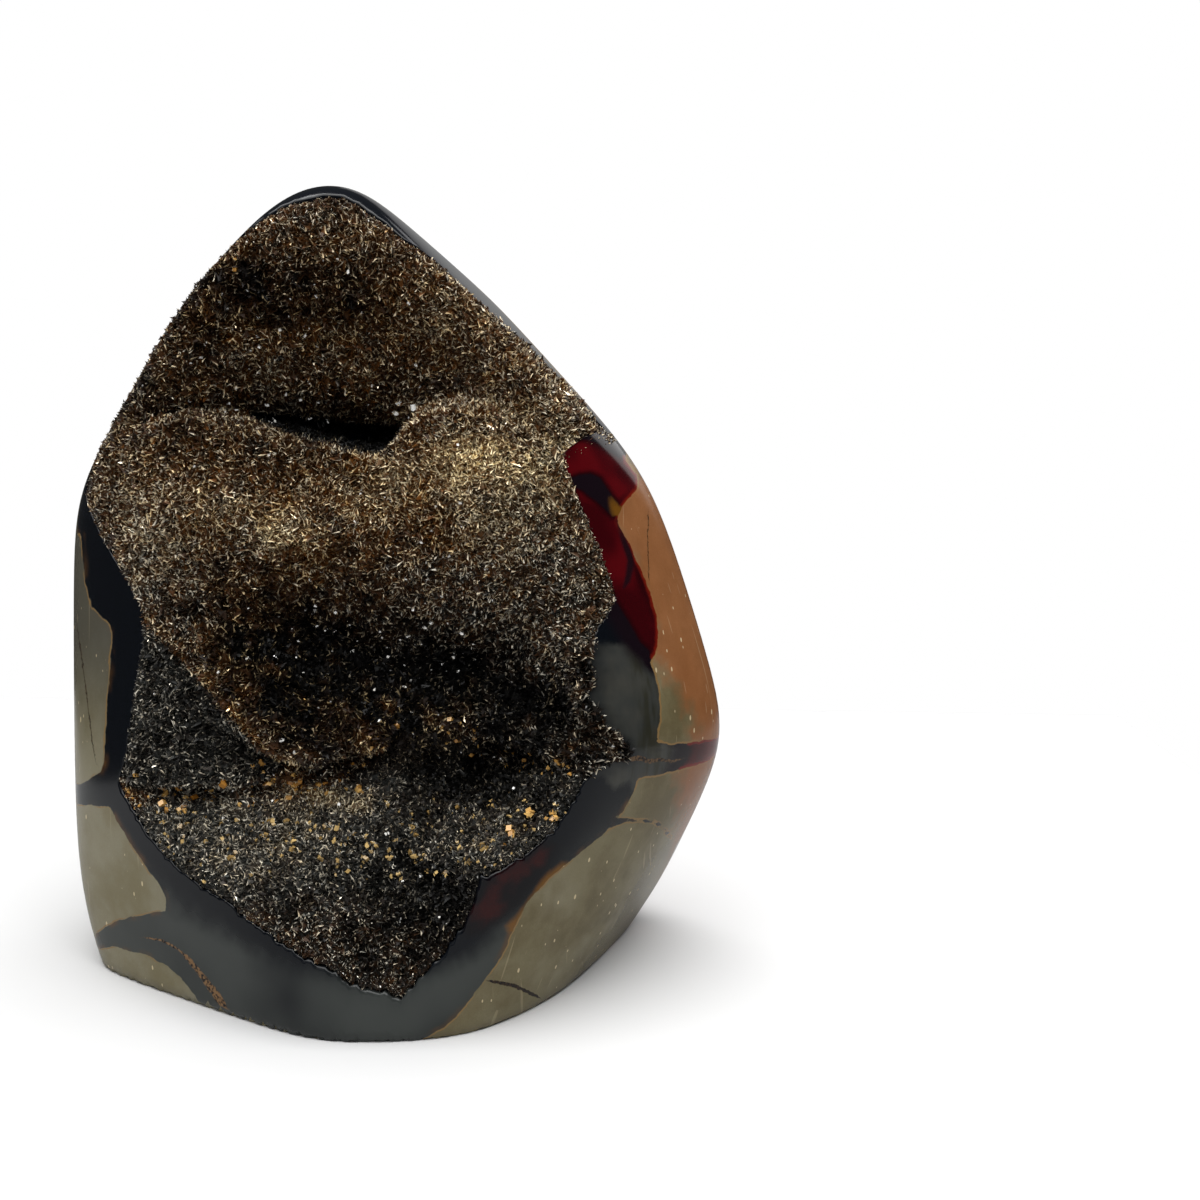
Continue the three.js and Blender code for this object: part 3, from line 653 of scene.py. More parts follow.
def mark_stone(piece, points, rim_away):
    """Distances into each part of the polished pattern, in millimetres, positive inside."""
    at = as_seen(points)
    normals = np.zeros(len(piece.data.vertices) * 3)
    piece.data.vertices.foreach_get("normal", normals)
    normals = normals.reshape(-1, 3)
    facing = (unit(EYE - points) * normals).sum(1)
    seen = smooth_step(*SEEN_FROM, facing)
    drawn = seen > RED_SEEN
    plates = within(PLATES, at)
    calcite = -plates * seen + vein_network(points) * (1 - seen)
    clear_red = within(CLEAR_RED, at) * seen + FAR_OUT * (1 - seen)
    across, width, tone = crack_lines(at)
    side_orange = 3 * ripple(points, 60, 1.1) + points[:, 0] / ORANGE_FADE - 1
    add_attribute(piece, "calcite", calcite)
    add_attribute(piece, "rim_away", rim_away)
    side_red = VEIN_END_REACH - np.linalg.norm(points - VEIN_END, axis=1)
    add_attribute(piece, "red", np.where(drawn, within(RED_LOBES, at), side_red))
    add_attribute(piece, "golden", np.where(drawn, within(GOLDEN, at), FAR_OUT))
    add_attribute(piece, "stain", signed_distance(ORANGE_OUTLINE, at) * seen + (1 - seen) * side_orange)
    add_attribute(piece, "clear_red", clear_red)
    add_attribute(piece, "crescent", np.where(drawn, signed_distance(CRESCENT, at), FAR_OUT))
    add_attribute(piece, "clouded", within(CLOUDY_CALCITE_AND_REFLECTION, at) * seen + FAR_OUT * (1 - seen))
    add_attribute(piece, "crack", np.stack((across, width * (seen > CRACK_SEEN), tone), 1), "FLOAT_VECTOR")


# Soft patches on the crust: middle x, z, half width, half height, turn, amount.
WARM_PATCHES = (
    (-8, 92, 26, 14, 0, 0.6), (-12, 69, 26, 10, -10, 0.45), (14, 71, 16, 11, 0, 0.3),
    (20, 84, 12, 6, -40, 0.25), (-14, 49, 9, 11, -20, 0.75), (4, 42, 10, 6, 0, 0.65),
    (14, 29, 14, 4, 0, 0.15), (-7, 31, 8, 3, 0, 0.2), (-31, 31.5, 2.5, 1.8, 0, 0.9), (-8, 45, 9, 7, 0, 0.25),
    (14.6, 75.5, 4, 2.2, 10, 0.35), (-22, 31, 6, 3, 0, -0.15), (22, 32, 6, 4, 0, -0.15),
    (-4, 86, 16, 7, 0, -0.1), (-4, 71, 7, 3, 0, -0.15), (6, 41, 6, 4, 0, 0.3), (-12, 27, 18, 4, 0, -0.1),
)
# Painted light and shade on the crust, and in places paler or darker crystals: lighter where light falls on
# the crown and brows, darker in the hollows and on shaded walls.
PAINTED_LIGHT_PATCHES = (
    # The crown, its right edge and the slope below it, the shaded wall, its swell and the left slope.
    (-8, 103, 11, 5, 0, 0.3), (9, 97, 9, 6, -45, 0.35), (23, 82, 10, 5, -42, 0.3),
    (-10, 96.5, 15, 5.5, 6, -0.4), (-8, 87, 7, 4, 0, 0.12), (-28, 82, 8, 9, 35, -0.12),
    # Over the shelf, and the shelf's left end.
    (-3, 79.5, 11, 2, 0, -0.2), (-36, 66, 5, 8, 0, -0.3),
    # The left brow, its outer side, the right brow, the fold between them and the right side.
    (-14, 68, 9, 4, -10, 0.4), (-28, 64, 8, 9, 20, 0.4), (15, 74, 11, 7, -5, 0.55), (0, 71, 6, 4, 0, 0.4),
    (20, 65, 10, 9, 0, 0.2),
    # A gleam on each brow: paler crystals, with a painted highlight.
    (15, 75.5, 5, 2.5, 5, 0.35), (-11, 65.5, 4.5, 2.5, 10, 0.35),
    # The dip over the hanging lobe, the black hollow, the lobe, the black tail and the mound.
    (-12, 51, 12, 9, -20, -0.4), (6, 48, 14, 6, -10, -0.45), (-9, 41, 8, 5, 0, -0.25),
    (22, 44, 11, 6, -25, -0.35), (4, 41, 8, 5, 0, -0.15),
    # Behind the sill, the floor's back edge, its left side, the sill, before it and the foot.
    (14, 34, 12, 5, 0, -0.45), (-4, 31.5, 9, 2.5, -2, 0.5), (-14, 26, 16, 5, -3, 0.3),
    (16, 25, 6, 3, 10, 0.35), (7, 22, 9, 5, 0, -0.3), (9, 15, 13, 7, 10, -0.3),
)
BASE_WARMTH, BASE_LIGHT = 0.14, 0.5
# Where the sparkles grow: white crystals that glow as painted glints.
SPARKLE_PATCHES = (
    (8, 50, 12, 7, -15, 1), (-6, 81.5, 12, 2, 0, 0.9), (-2, 78.5, 9, 2, 0, -1), (8, 66, 8, 5, 0, 0.4),
    (-14, 92, 10, 8, 20, 0.4),
)
SPARKLE_REST = 0.1
DEEPEST, BRIGHTEST = -0.2, 1.5
WALL_SHADE, WALL_EDGE, WALL_FOOT, WALL_DULLNESS = 0.06, 0.22, 36, 0.75
FLOOR_DULLNESS = 0.9
GAP_SHADE, GAP_STUNTING = 1.0, 0.5
CLUMP_SIZE, CLUMP_REST = 3, 0.15
# Where the bands of blades part, in x or z. Then where amber and pale rhombs grow, from none to all: by the
# distance from the floor's back edge, in x, and in z.
BROW_FOOT, DARK_TOP, DARK_LEFT, DARK_RIGHT = 64, 54, -20, 0
AMBER_CREASE, AMBER_SIDE, AMBER_TOP = (3.2, 0.5), (30, 20), 42
PALE_TOP, PALE_FOOT = (33, 30), (19, 22)
# Blades are shorter at the rim, and taller in the fringe that overhangs it at the right.
RIM_STATURE, FRINGE_STATURE = 0.4, 1.25
FRINGE_SIDE, FRINGE_FOOT, FRINGE_TOP, FRINGE_SHARE = (23, 26), (33, 36), (55, 51), (0.93, 0.97)
# Uneven light and warmth: size, phase, amount.
LIGHT_MOTTLE = ((9, 0.3, 0.22), (4.5, 1.7, 0.26))
WARMTH_MOTTLE = ((7, 2.9, 0.3), (3.2, 0.9, 0.35))


def patch_sum(patches, at, start):
    return start + swell_depth(patches, *at.T)


def nearest_seen(points, places):
    """The point of the crust's face that shows at each place of the front view."""
    at = as_seen(points)
    found = []
    for place in places:
        off = np.linalg.norm(at - np.array(place), axis=1)
        close = np.flatnonzero(off < off.min() + AS_CLOSE)
        found.append(close[np.argmin(points[close, 1])])
    return points[found]


def spots(points, places, reach):
    """1 close to each place of the front view, 0 elsewhere."""
    marks = np.zeros(len(points))
    for middle in nearest_seen(points, places):
        marks = np.maximum(marks, np.linalg.norm(points - middle, axis=1) < reach)
    return marks


def mark_crust(piece, points, share):
    """Tints for the crust with its painted light and shade, and how thickly each kind of crystal grows on its
    face.
    """
    at = as_seen(points)
    x, z = at.T
    face = share >= 0
    grow = face * 1.0
    upper = z > along_line(SHELF_EDGE, x) + 1
    floor = ~upper & (z < along_line(FLOOR_EDGE, x))
    dark = ~upper & ~floor & (z < DARK_TOP) & ((x > DARK_RIGHT) | (x < DARK_LEFT))
    brow = ~upper & ~floor & ~dark & (z > BROW_FOOT)
    lobe = ~upper & ~floor & ~dark & ~brow
    crease = np.abs(z - along_line(FLOOR_EDGE, x) - 1)
    on_floor = smooth_step(1.5, -1.5, z - along_line(FLOOR_EDGE, x)) * smooth_step(12, 20, z) * FLOOR_DULLNESS
    # The gap over the shelf is painted black, as painted shade, and its blades are kept short.
    in_gap = smooth_step(-0.3, 0.3, signed_distance(GAP, at))
    in_wall = signed_distance(GREY_WALL, at)
    on_wall = smooth_step(-0.8, 0.8, in_wall)
    by_wall = smooth_step(-2.4, -0.6, in_wall) * (1 - on_wall) * (z > WALL_FOOT)
    # Painted light and shade: the patches, a little painted shade on the grey wall, and lighter just outside
    # its edge.
    light = patch_sum(PAINTED_LIGHT_PATCHES, at, BASE_LIGHT) - WALL_SHADE * on_wall + WALL_EDGE * by_wall
    warmth = patch_sum(WARM_PATCHES, at, BASE_WARMTH) - on_wall + WALL_EDGE * by_wall
    for size, phase, amount in LIGHT_MOTTLE:
        light = light + amount * ripple(points, size, phase)
    for size, phase, amount in WARMTH_MOTTLE:
        warmth = warmth + amount * ripple(points, size, phase)
    stature = smooth_step(1.002, 0.94, share) * (1 - RIM_STATURE) + RIM_STATURE
    in_creases = grow * smooth_step(*AMBER_CREASE, crease)
    fringe = smooth_step(*FRINGE_SIDE, x) * smooth_step(*FRINGE_FOOT, z)
    fringe = fringe * smooth_step(*FRINGE_TOP, z) * smooth_step(*FRINGE_SHARE, share)
    clumps = smooth_step(-0.1, 0.15, ripple(points, CLUMP_SIZE, 1.3)) + CLUMP_REST
    marks = {
        "upper_blades": grow * upper, "brow_blades": grow * brow, "lobe_blades": grow * lobe,
        "dark_blades": grow * dark, "floor_blades": grow * floor,
        "amber": in_creases * smooth_step(*AMBER_SIDE, x) * (z < AMBER_TOP) * clumps,
        "pale": grow * smooth_step(*PALE_TOP, z) * smooth_step(*PALE_FOOT, z) * clumps,
        "amber_spots": face * spots(points, AMBER_PLACES, SPOT_REACH),
        "pale_spots": face * spots(points, PALE_PLACES, SPOT_REACH),
        "white_spots": face * spots(points, WHITE_PLACES, SPOT_REACH),
        "warmth": np.clip(warmth, 0, 1), "light": np.clip(light - GAP_SHADE * in_gap, DEEPEST, BRIGHTEST),
        "sparkle": grow * (SPARKLE_REST + np.clip(swell_depth(SPARKLE_PATCHES, x, z), 0, 1)),
        "dull": np.clip(on_floor + on_wall * WALL_DULLNESS, 0, 1),
        "stature": np.maximum(stature, FRINGE_STATURE * fringe) * (1 - GAP_STUNTING * in_gap),
    }
    for name, values in marks.items():
        add_attribute(piece, name, values)


# ================= Node tools =================

def feed(tree, value, socket):
    if isinstance(value, bpy.types.NodeSocket):
        tree.links.new(value, socket)
    else:
        socket.default_value = value


def place(tree, kind, inputs=None, **settings):
    """Adds a node with its settings, and feeds its inputs by name or number."""
    node = tree.nodes.new(kind)
    for name, value in settings.items():
        setattr(node, name, value)
    for key, value in (inputs or {}).items():
        feed(tree, value, node.inputs[key])
    return node


def calculate(tree, operation, *values):
    return place(tree, "ShaderNodeMath", dict(enumerate(values)), operation=operation).outputs[0]


def named(tree, name):
    """A number stored on the points, in a crystal tree."""
    return place(tree, "GeometryNodeInputNamedAttribute", {"Name": name}, data_type="FLOAT").outputs[0]


# ================= Crystals, made by Geometry Nodes =================

PLATE_SLANT = 0.5
FOOT_SUNK = 0.2
EDGE_UP = -math.atan(math.sqrt(2))
RHOMB_SIDE, RHOMB_RISE, RHOMB_SQUATNESS = 0.62, 0.75, 0.8
ON_ONE_CORNER = (45 * DEGREE, 35.26 * DEGREE, 0)

CRYSTAL_INPUTS = (
    ("Where", "NodeSocketString"), ("Crystals per mm2", "NodeSocketFloat"), ("Length", "NodeSocketFloat"),
    ("Width", "NodeSocketFloat"), ("Thickness", "NodeSocketFloat"), ("Least Share", "NodeSocketFloat"),
    ("Lean", "NodeSocketFloat"), ("Seed", "NodeSocketInt"), ("Finish", "NodeSocketMaterial"),
)


def draw_lots(tree, low, high, seed, offset, kind="FLOAT"):
    """A random value for each crystal."""
    node = place(tree, "FunctionNodeRandomValue", data_type=kind)
    lots = [socket for socket in node.inputs if socket.enabled and socket.name in ("Min", "Max")]
    feed(tree, low, lots[0])
    feed(tree, high, lots[1])
    feed(tree, calculate(tree, "ADD", seed, offset), node.inputs["Seed"])
    return next(socket for socket in node.outputs if socket.enabled)


def plate_form(tree):
    """A thin plate, one unit tall, that widens from its foot to a slanting knife edge along its top."""
    wedge = place(tree, "GeometryNodeMeshCone", {
        "Vertices": 3, "Radius Top": 0.0, "Radius Bottom": 1.0, "Depth": math.sqrt(2)}, fill_type="NGON")
    upright = place(tree, "GeometryNodeTransform", {
        "Geometry": wedge.outputs["Mesh"], "Rotation": (0, EDGE_UP, 0)})
    unit_tall = place(tree, "GeometryNodeTransform", {
        "Geometry": upright.outputs["Geometry"], "Scale": (3 ** -0.5, 3 ** -0.5, 1.5 ** -0.5),
        "Translation": (1 / 6, 0, 1 / 3)})
    position = place(tree, "GeometryNodeInputPosition").outputs[0]
    axes = place(tree, "ShaderNodeSeparateXYZ", {0: position}).outputs
    across_top = calculate(tree, "MULTIPLY", axes["X"], axes["Z"])
    rise = calculate(tree, "MULTIPLY", across_top, PLATE_SLANT)
    slant = place(tree, "ShaderNodeCombineXYZ", {"Z": rise}).outputs[0]
    return place(tree, "GeometryNodeSetPosition", {
        "Geometry": unit_tall.outputs["Geometry"], "Offset": slant}).outputs[0]


def rhomb_form(tree):
    """A squat rhomb standing on one corner, about one unit tall."""
    cube = place(tree, "GeometryNodeMeshCube", {"Size": (RHOMB_SIDE, RHOMB_SIDE, RHOMB_SIDE)})
    tipped = place(tree, "GeometryNodeTransform", {
        "Geometry": cube.outputs["Mesh"], "Rotation": ON_ONE_CORNER})
    squat = place(tree, "GeometryNodeTransform", {
        "Geometry": tipped.outputs["Geometry"], "Scale": (1, 1, RHOMB_SQUATNESS),
        "Translation": (0, 0, RHOMB_RISE)})
    return squat.outputs["Geometry"]


def crystal_tree(name, form):
    """Stands crystals of one form on a surface, as thickly as a stored mask allows."""
    tree = bpy.data.node_groups.new(name, "GeometryNodeTree")
    tree.interface.new_socket("Surface", in_out="INPUT", socket_type="NodeSocketGeometry")
    tree.interface.new_socket("Crystals", in_out="OUTPUT", socket_type="NodeSocketGeometry")
    for label, kind in CRYSTAL_INPUTS:
        tree.interface.new_socket(label, in_out="INPUT", socket_type=kind)
    source = tree.nodes.new("NodeGroupInput").outputs
    seed = source["Seed"]

    mask = named(tree, source["Where"])
    per_area = calculate(tree, "DIVIDE", mask, MM * MM)
    density = calculate(tree, "MULTIPLY", source["Crystals per mm2"], per_area)
    spread = place(tree, "GeometryNodeDistributePointsOnFaces", {
        "Mesh": source["Surface"], "Density": density, "Seed": seed}, distribute_method="RANDOM")
    tone = place(tree, "GeometryNodeStoreNamedAttribute", {
        "Geometry": spread.outputs["Points"], "Name": "tone",
        "Value": draw_lots(tree, 0.0, 1.0, seed, 11)}, data_type="FLOAT", domain="POINT")

    ends = []
    for lean in (calculate(tree, "MULTIPLY", source["Lean"], -1.0), source["Lean"]):
        ends.append(place(tree, "ShaderNodeCombineXYZ", {"X": lean, "Y": lean}).outputs[0])
    leaning = draw_lots(tree, ends[0], ends[1], seed, 23, "FLOAT_VECTOR")
    spin = place(tree, "ShaderNodeCombineXYZ", {"Z": draw_lots(tree, 0.0, 2 * math.pi, seed, 37)}).outputs[0]
    rotation = spread.outputs["Rotation"]
    for angles in (leaning, spin):
        turn = place(tree, "FunctionNodeEulerToRotation", {0: angles}).outputs[0]
        rotation = place(tree, "FunctionNodeRotateRotation", {
            0: rotation, 1: turn}, rotation_space="LOCAL").outputs[0]

    stature = calculate(tree, "MULTIPLY", named(tree, "stature"), MM)
    grown = calculate(tree, "MULTIPLY", draw_lots(tree, source["Least Share"], 1.0, seed, 41), stature)
    size = place(tree, "ShaderNodeCombineXYZ", {
        "X": calculate(tree, "MULTIPLY", source["Width"], grown),
        "Y": calculate(tree, "MULTIPLY", source["Thickness"], grown),
        "Z": calculate(tree, "MULTIPLY", source["Length"], grown)}).outputs[0]
    height = place(tree, "ShaderNodeSeparateXYZ", {0: place(tree, "GeometryNodeInputPosition").outputs[0]})
    tipped = place(tree, "GeometryNodeStoreNamedAttribute", {
        "Geometry": form(tree), "Name": "tip",
        "Value": height.outputs["Z"]}, data_type="FLOAT", domain="POINT")
    sunk = place(tree, "GeometryNodeTransform", {
        "Geometry": tipped.outputs[0], "Translation": (0, 0, -FOOT_SUNK)})
    stand = place(tree, "GeometryNodeInstanceOnPoints", {
        "Points": tone.outputs[0], "Instance": sunk.outputs[0], "Rotation": rotation, "Scale": size})
    realize = place(tree, "GeometryNodeRealizeInstances", {0: stand.outputs[0]})
    finish = place(tree, "GeometryNodeSetMaterial", {
        "Geometry": realize.outputs[0], "Material": source["Finish"]})
    place(tree, "NodeGroupOutput", {"Crystals": finish.outputs[0]})
    return tree


def grow(name, surface, tree, values):
    """Runs a crystal tree on a surface and returns its crystals as a plain mesh."""
    carrier = bpy.data.objects.new(name + "_carrier", surface.data)
    bpy.context.scene.collection.objects.link(carrier)
    modifier = carrier.modifiers.new("crystals", "NODES")
    modifier.node_group = tree
    for item in tree.interface.items_tree:
        if item.in_out == "INPUT" and item.name in values:
            modifier[item.identifier] = values[item.name]
    evaluated = carrier.evaluated_get(bpy.context.evaluated_depsgraph_get())
    mesh = bpy.data.meshes.new_from_object(evaluated)
    bpy.data.objects.remove(carrier)
    mesh.name = name
    mesh.shade_flat()
    for label in [attribute.name for attribute in mesh.attributes]:
        if label.endswith(("blades", "spots", "amber", "pale", "sparkle", "stature")):
            mesh.attributes.remove(mesh.attributes[label])
    piece = bpy.data.objects.new(name, mesh)
    bpy.context.scene.collection.objects.link(piece)
    return piece


# ================= Finishes =================

def colour(red, green, blue):
    """A screen colour of 0 to 255 a channel, as linear light."""
    shares = [level / 255 for level in (red, green, blue)]
    return (*(s / 12.92 if s <= 0.04045 else ((s + 0.055) / 1.055) ** 2.4 for s in shares), 1.0)


OLIVE, GREY_OLIVE, PALE_OLIVE = colour(113, 105, 78), colour(126, 120, 98), colour(138, 132, 110)
DEEP_OLIVE, SHADED_MUDSTONE = colour(94, 84, 58), colour(70, 69, 64)
RIGHT_ORANGE, PALE_RIGHT_ORANGE = colour(120, 72, 38), colour(150, 98, 60)
INK, LOW_GREY, PLUM = colour(8, 11, 16), colour(55, 58, 56), colour(16, 8, 14)
OXBLOOD, CRIMSON, CHERRY, FLAME = colour(28, 1, 4), colour(46, 1, 5), colour(72, 4, 9), colour(118, 26, 8)
GREY_CALCITE, PALE_GREY, DARK_OLIVE = colour(32, 39, 43), colour(76, 74, 66), colour(40, 38, 22)
BLACK_CALCITE, EMBER = colour(8, 6, 9), colour(48, 10, 9)
GOLD, EDGE_BROWN = colour(120, 78, 16), colour(92, 62, 30)
SEAM_TAN, CRACK_TAN, CRACK_BLACK = colour(122, 96, 60), colour(122, 92, 60), colour(14, 9, 8)
FLECK = colour(196, 178, 142)
# PITCH is painted shade for crystals out of the light, DUN and GLEAM painted light where it falls strongly,
# and SILVER and SAND the painted highlights on the blade tops.
PITCH, CHARCOAL, SILVER = colour(5, 4, 3), colour(30, 28, 24), colour(216, 210, 194)
UMBER, SAND = colour(98, 58, 16), colour(230, 202, 148)
SLATE, DUN, GLEAM = colour(50, 52, 50), colour(150, 122, 84), colour(250, 234, 190)
AMBER, HONEY = colour(150, 100, 38), colour(212, 170, 100)
CREAM, STRAW = colour(112, 88, 48), colour(200, 170, 112)
ASH, SNOW = colour(176, 172, 160), colour(255, 254, 250)

# The few crystals whose faces throw a bright glint, and the glow of the white ones, a painted glint.
GLINTING = (0.955, 0.965)
GLINT_GLOW = 0.25
CALCITE_SPECULAR, RHOMB_SPECULAR, CALCITE_IOR = 0.22, 0.35, 1.6


def new_finish(name):
    material = bpy.data.materials.new(name)
    material.use_nodes = True
    tree = material.node_tree
    return material, tree, tree.nodes["Principled BSDF"]


def blend(tree, share, first, second, mode="MIX"):
    node = place(tree, "ShaderNodeMix", {0: share, 6: first, 7: second}, data_type="RGBA", blend_type=mode)
    return node.outputs[2]


def blend_value(tree, share, first, second):
    return place(tree, "ShaderNodeMix", {0: share, 2: first, 3: second}).outputs[0]


def step(tree, low, high, value):
    node = place(tree, "ShaderNodeMapRange", {0: value, 1: low, 2: high}, interpolation_type="SMOOTHSTEP")
    return node.outputs[0]


def stored(tree, name):
    return place(tree, "ShaderNodeAttribute", attribute_name=name)


def millimetre_places(tree):
    places = place(tree, "ShaderNodeTexCoord").outputs["Object"]
    return place(tree, "ShaderNodeVectorMath", {0: places, "Scale": 1 / MM}, operation="SCALE").outputs[0]


def noise(tree, at, per_mm, detail=2.0, roughness=0.5):
    return place(tree, "ShaderNodeTexNoise", {
        "Vector": at, "Scale": per_mm, "Detail": detail, "Roughness": roughness}).outputs[0]


def ground_surface_group():
    """Flecks, hairline scratches and a fine unevenness that polishing leaves."""
    tree = bpy.data.node_groups.new("ground surface", "ShaderNodeTree")
    tree.interface.new_socket("Position", in_out="INPUT", socket_type="NodeSocketVector")
    tree.interface.new_socket("Amount", in_out="INPUT", socket_type="NodeSocketFloat")
    for label in ("Fleck", "Scratch", "Height"):
        tree.interface.new_socket(label, in_out="OUTPUT", socket_type="NodeSocketFloat")
    source = tree.nodes.new("NodeGroupInput").outputs
    at = source["Position"]
    stretched = place(tree, "ShaderNodeMapping", {
        "Vector": at, "Rotation": (0.6, 0.4, 0.3), "Scale": (1.1, 1.0, 0.5)})
    cells = place(tree, "ShaderNodeTexVoronoi", {
        "Vector": stretched.outputs[0], "Scale": 1.0, "Randomness": 1.0})
    lot = place(tree, "ShaderNodeSeparateColor", {0: cells.outputs["Color"]})
    size = calculate(tree, "MULTIPLY", calculate(tree, "POWER", lot.outputs[0], 3.5), 0.24)
    near = calculate(tree, "SUBTRACT", size, cells.outputs["Distance"])
    fleck = calculate(tree, "MULTIPLY", step(tree, 0.0, 0.05, near), source["Amount"])
    scratches = 0.0
    for turn, way in ((0.5, (0.05, 3.4, 0.35)), (-0.9, (0.35, 3.0, 0.05)), (2.1, (3.4, 0.3, 0.06))):
        drawn_out = place(tree, "ShaderNodeMapping", {
            "Vector": at, "Rotation": (turn, turn / 2, turn), "Scale": way})
        line = noise(tree, drawn_out.outputs[0], 0.5, 1.0)
        scratches = calculate(tree, "ADD", scratches, step(tree, 0.735, 0.76, line))
    scratch = calculate(tree, "MULTIPLY", calculate(tree, "MINIMUM", scratches, 1.0), source["Amount"])
    height = noise(tree, at, 1.3, 3.0)
    place(tree, "NodeGroupOutput", {"Fleck": fleck, "Scratch": scratch, "Height": height})
    return tree


def crystal_tint_group():
    """The colour of a calcite crystal, with painted light and shade: how lit and warm its place is, its own
    tone, and height up it.
    """
    tree = bpy.data.node_groups.new("crystal tint", "ShaderNodeTree")
    for label in ("Light", "Warmth", "Dull", "Tone", "Tip"):
        tree.interface.new_socket(label, in_out="INPUT", socket_type="NodeSocketFloat")
    tree.interface.new_socket("Color", in_out="OUTPUT", socket_type="NodeSocketColor")
    source = tree.nodes.new("NodeGroupInput").outputs
    lot = calculate(tree, "FRACT", calculate(tree, "MULTIPLY", source["Tone"], 7.31))
    shift = calculate(tree, "MULTIPLY_ADD", lot, 0.6, -0.3)
    warmth = place(tree, "ShaderNodeClamp", {0: calculate(tree, "ADD", source["Warmth"], shift)}).outputs[0]
    lit_gaps = blend(tree, warmth, CHARCOAL, UMBER)
    lit_gaps = blend(tree, calculate(tree, "MULTIPLY", source["Dull"], 0.8), lit_gaps, SLATE)
    # Painted shade and light: near black where little light falls, lit gaps where more falls, and a paler
    # body where it falls strongly.
    strong = step(tree, 0.7, BRIGHTEST, source["Light"])
    dark = blend(tree, step(tree, 0.0, 0.7, source["Light"]), PITCH, lit_gaps)
    dark = blend(tree, calculate(tree, "MULTIPLY", strong, 0.6), dark, DUN)
    # The bright blade tops are painted highlights on lit edges, gleaming where the light is strong.
    bright = blend(tree, warmth, SILVER, SAND)
    bright = blend(tree, strong, bright, GLEAM)
    over = calculate(tree, "MULTIPLY_ADD", source["Light"], 0.74, source["Tone"])
    over = calculate(tree, "MAXIMUM", calculate(tree, "SUBTRACT", over, 0.77), 0.0)
    own = calculate(tree, "MULTIPLY", calculate(tree, "POWER", over, 1.3), 3.0)
    calm = calculate(tree, "MULTIPLY_ADD", source["Dull"], -0.42, 1.0)
    up = calculate(tree, "MULTIPLY", step(tree, 0.78, 1.0, source["Tip"]), calm)
    share = calculate(tree, "MULTIPLY", own, up)
    place(tree, "NodeGroupOutput", {"Color": blend(tree, share, dark, bright)})
    return tree


def times(tree, first, second):
    return calculate(tree, "MULTIPLY", first, second)


def seam_lines(tree, at, into, by_red):
    """The tan line between mudstone and calcite: broken, faint by the lobes, whole by the grey of cloudy
    calcite and painted reflection.
    """
    away = calculate(tree, "ABSOLUTE", calculate(tree, "ADD", into, 0.12))
    broken = step(tree, 0.42, 0.56, noise(tree, at, 0.16, 2.0))
    seam = times(tree, step(tree, 0.11, 0.04, away), broken)
    seam = times(tree, seam, calculate(tree, "MULTIPLY_ADD", by_red, -0.8, 1.0))
    by_pale_grey = step(tree, -1.5, -0.5, stored(tree, "clouded").outputs["Fac"])
    pale_edge = times(tree, step(tree, 0.16, 0.06, away), by_pale_grey)
    return calculate(tree, "MAXIMUM", seam, pale_edge)


def mudstone_tint(tree, at, broad, grain):
    """Olive mudstone, greyer to the left, with painted shade at the upper left, and orange at the right."""
    axes = place(tree, "ShaderNodeSeparateXYZ", {0: at}).outputs
    rightward = step(tree, -20.0, 32.0, axes["X"])
    lighter = blend(tree, rightward, GREY_OLIVE, OLIVE)
    darker = blend(tree, rightward, OLIVE, DEEP_OLIVE)
    tint = blend(tree, step(tree, 0.35, 0.65, noise(tree, at, 0.11, 5.0, 0.6)), darker, lighter)
    tint = blend(tree, step(tree, 0.5, 0.8, noise(tree, at, 0.07, 3.0)), tint, PALE_OLIVE)
    # Painted shade on the upper left.
    upper_left = times(tree, step(tree, 28.0, 50.0, axes["Z"]), step(tree, -18.0, -30.0, axes["X"]))
    tint = blend(tree, times(tree, upper_left, 0.8), tint, SHADED_MUDSTONE)
    orange_tint = blend(tree, noise(tree, at, 0.3, 5.0, 0.6), RIGHT_ORANGE, PALE_RIGHT_ORANGE)
    stain = calculate(tree, "MULTIPLY_ADD", broad, 4.0, stored(tree, "stain").outputs["Fac"])
    tint = blend(tree, times(tree, step(tree, -2.2, 0.6, stain), 0.9), tint, orange_tint)
    shade = blend(tree, grain, colour(226, 226, 226), colour(255, 255, 255))
    return blend(tree, 1.0, tint, shade, "MULTIPLY")


def red_tint(tree, at, into, red_in, wander):
    """Deep red calcite: darkest at its edge, brighter beside a plate, with the dark crescent."""
    red = blend(tree, step(tree, 0.4, 0.62, noise(tree, at, 0.12, 1.0)), CRIMSON, CHERRY)
    red = blend(tree, step(tree, 0.9, 0.0, red_in), red, OXBLOOD)
    red = blend(tree, times(tree, step(tree, 0.5, 0.05, into), 0.6), red, FLAME)
    crescent_in = calculate(tree, "MULTIPLY_ADD", wander, 0.2, stored(tree, "crescent").outputs["Fac"])
    return blend(tree, times(tree, step(tree, -0.4, 0.15, crescent_in), 0.9), red, PLUM)


def grey_tint(tree, at, into):
    """Grey for cloudy calcite and for a painted reflection, with upright olive streaks near the plates."""
    grey = blend(tree, noise(tree, at, 0.25, 4.0), GREY_CALCITE, PALE_GREY)
    upright = place(tree, "ShaderNodeMapping", {"Vector": at, "Scale": (0.6, 0.6, 0.12)}).outputs[0]
    streaks = step(tree, 0.42, 0.66, noise(tree, upright, 1.0, 3.0))
    streaks = times(tree, streaks, step(tree, 4.0, 1.0, into))
    return blend(tree, times(tree, streaks, 0.7), grey, DARK_OLIVE)


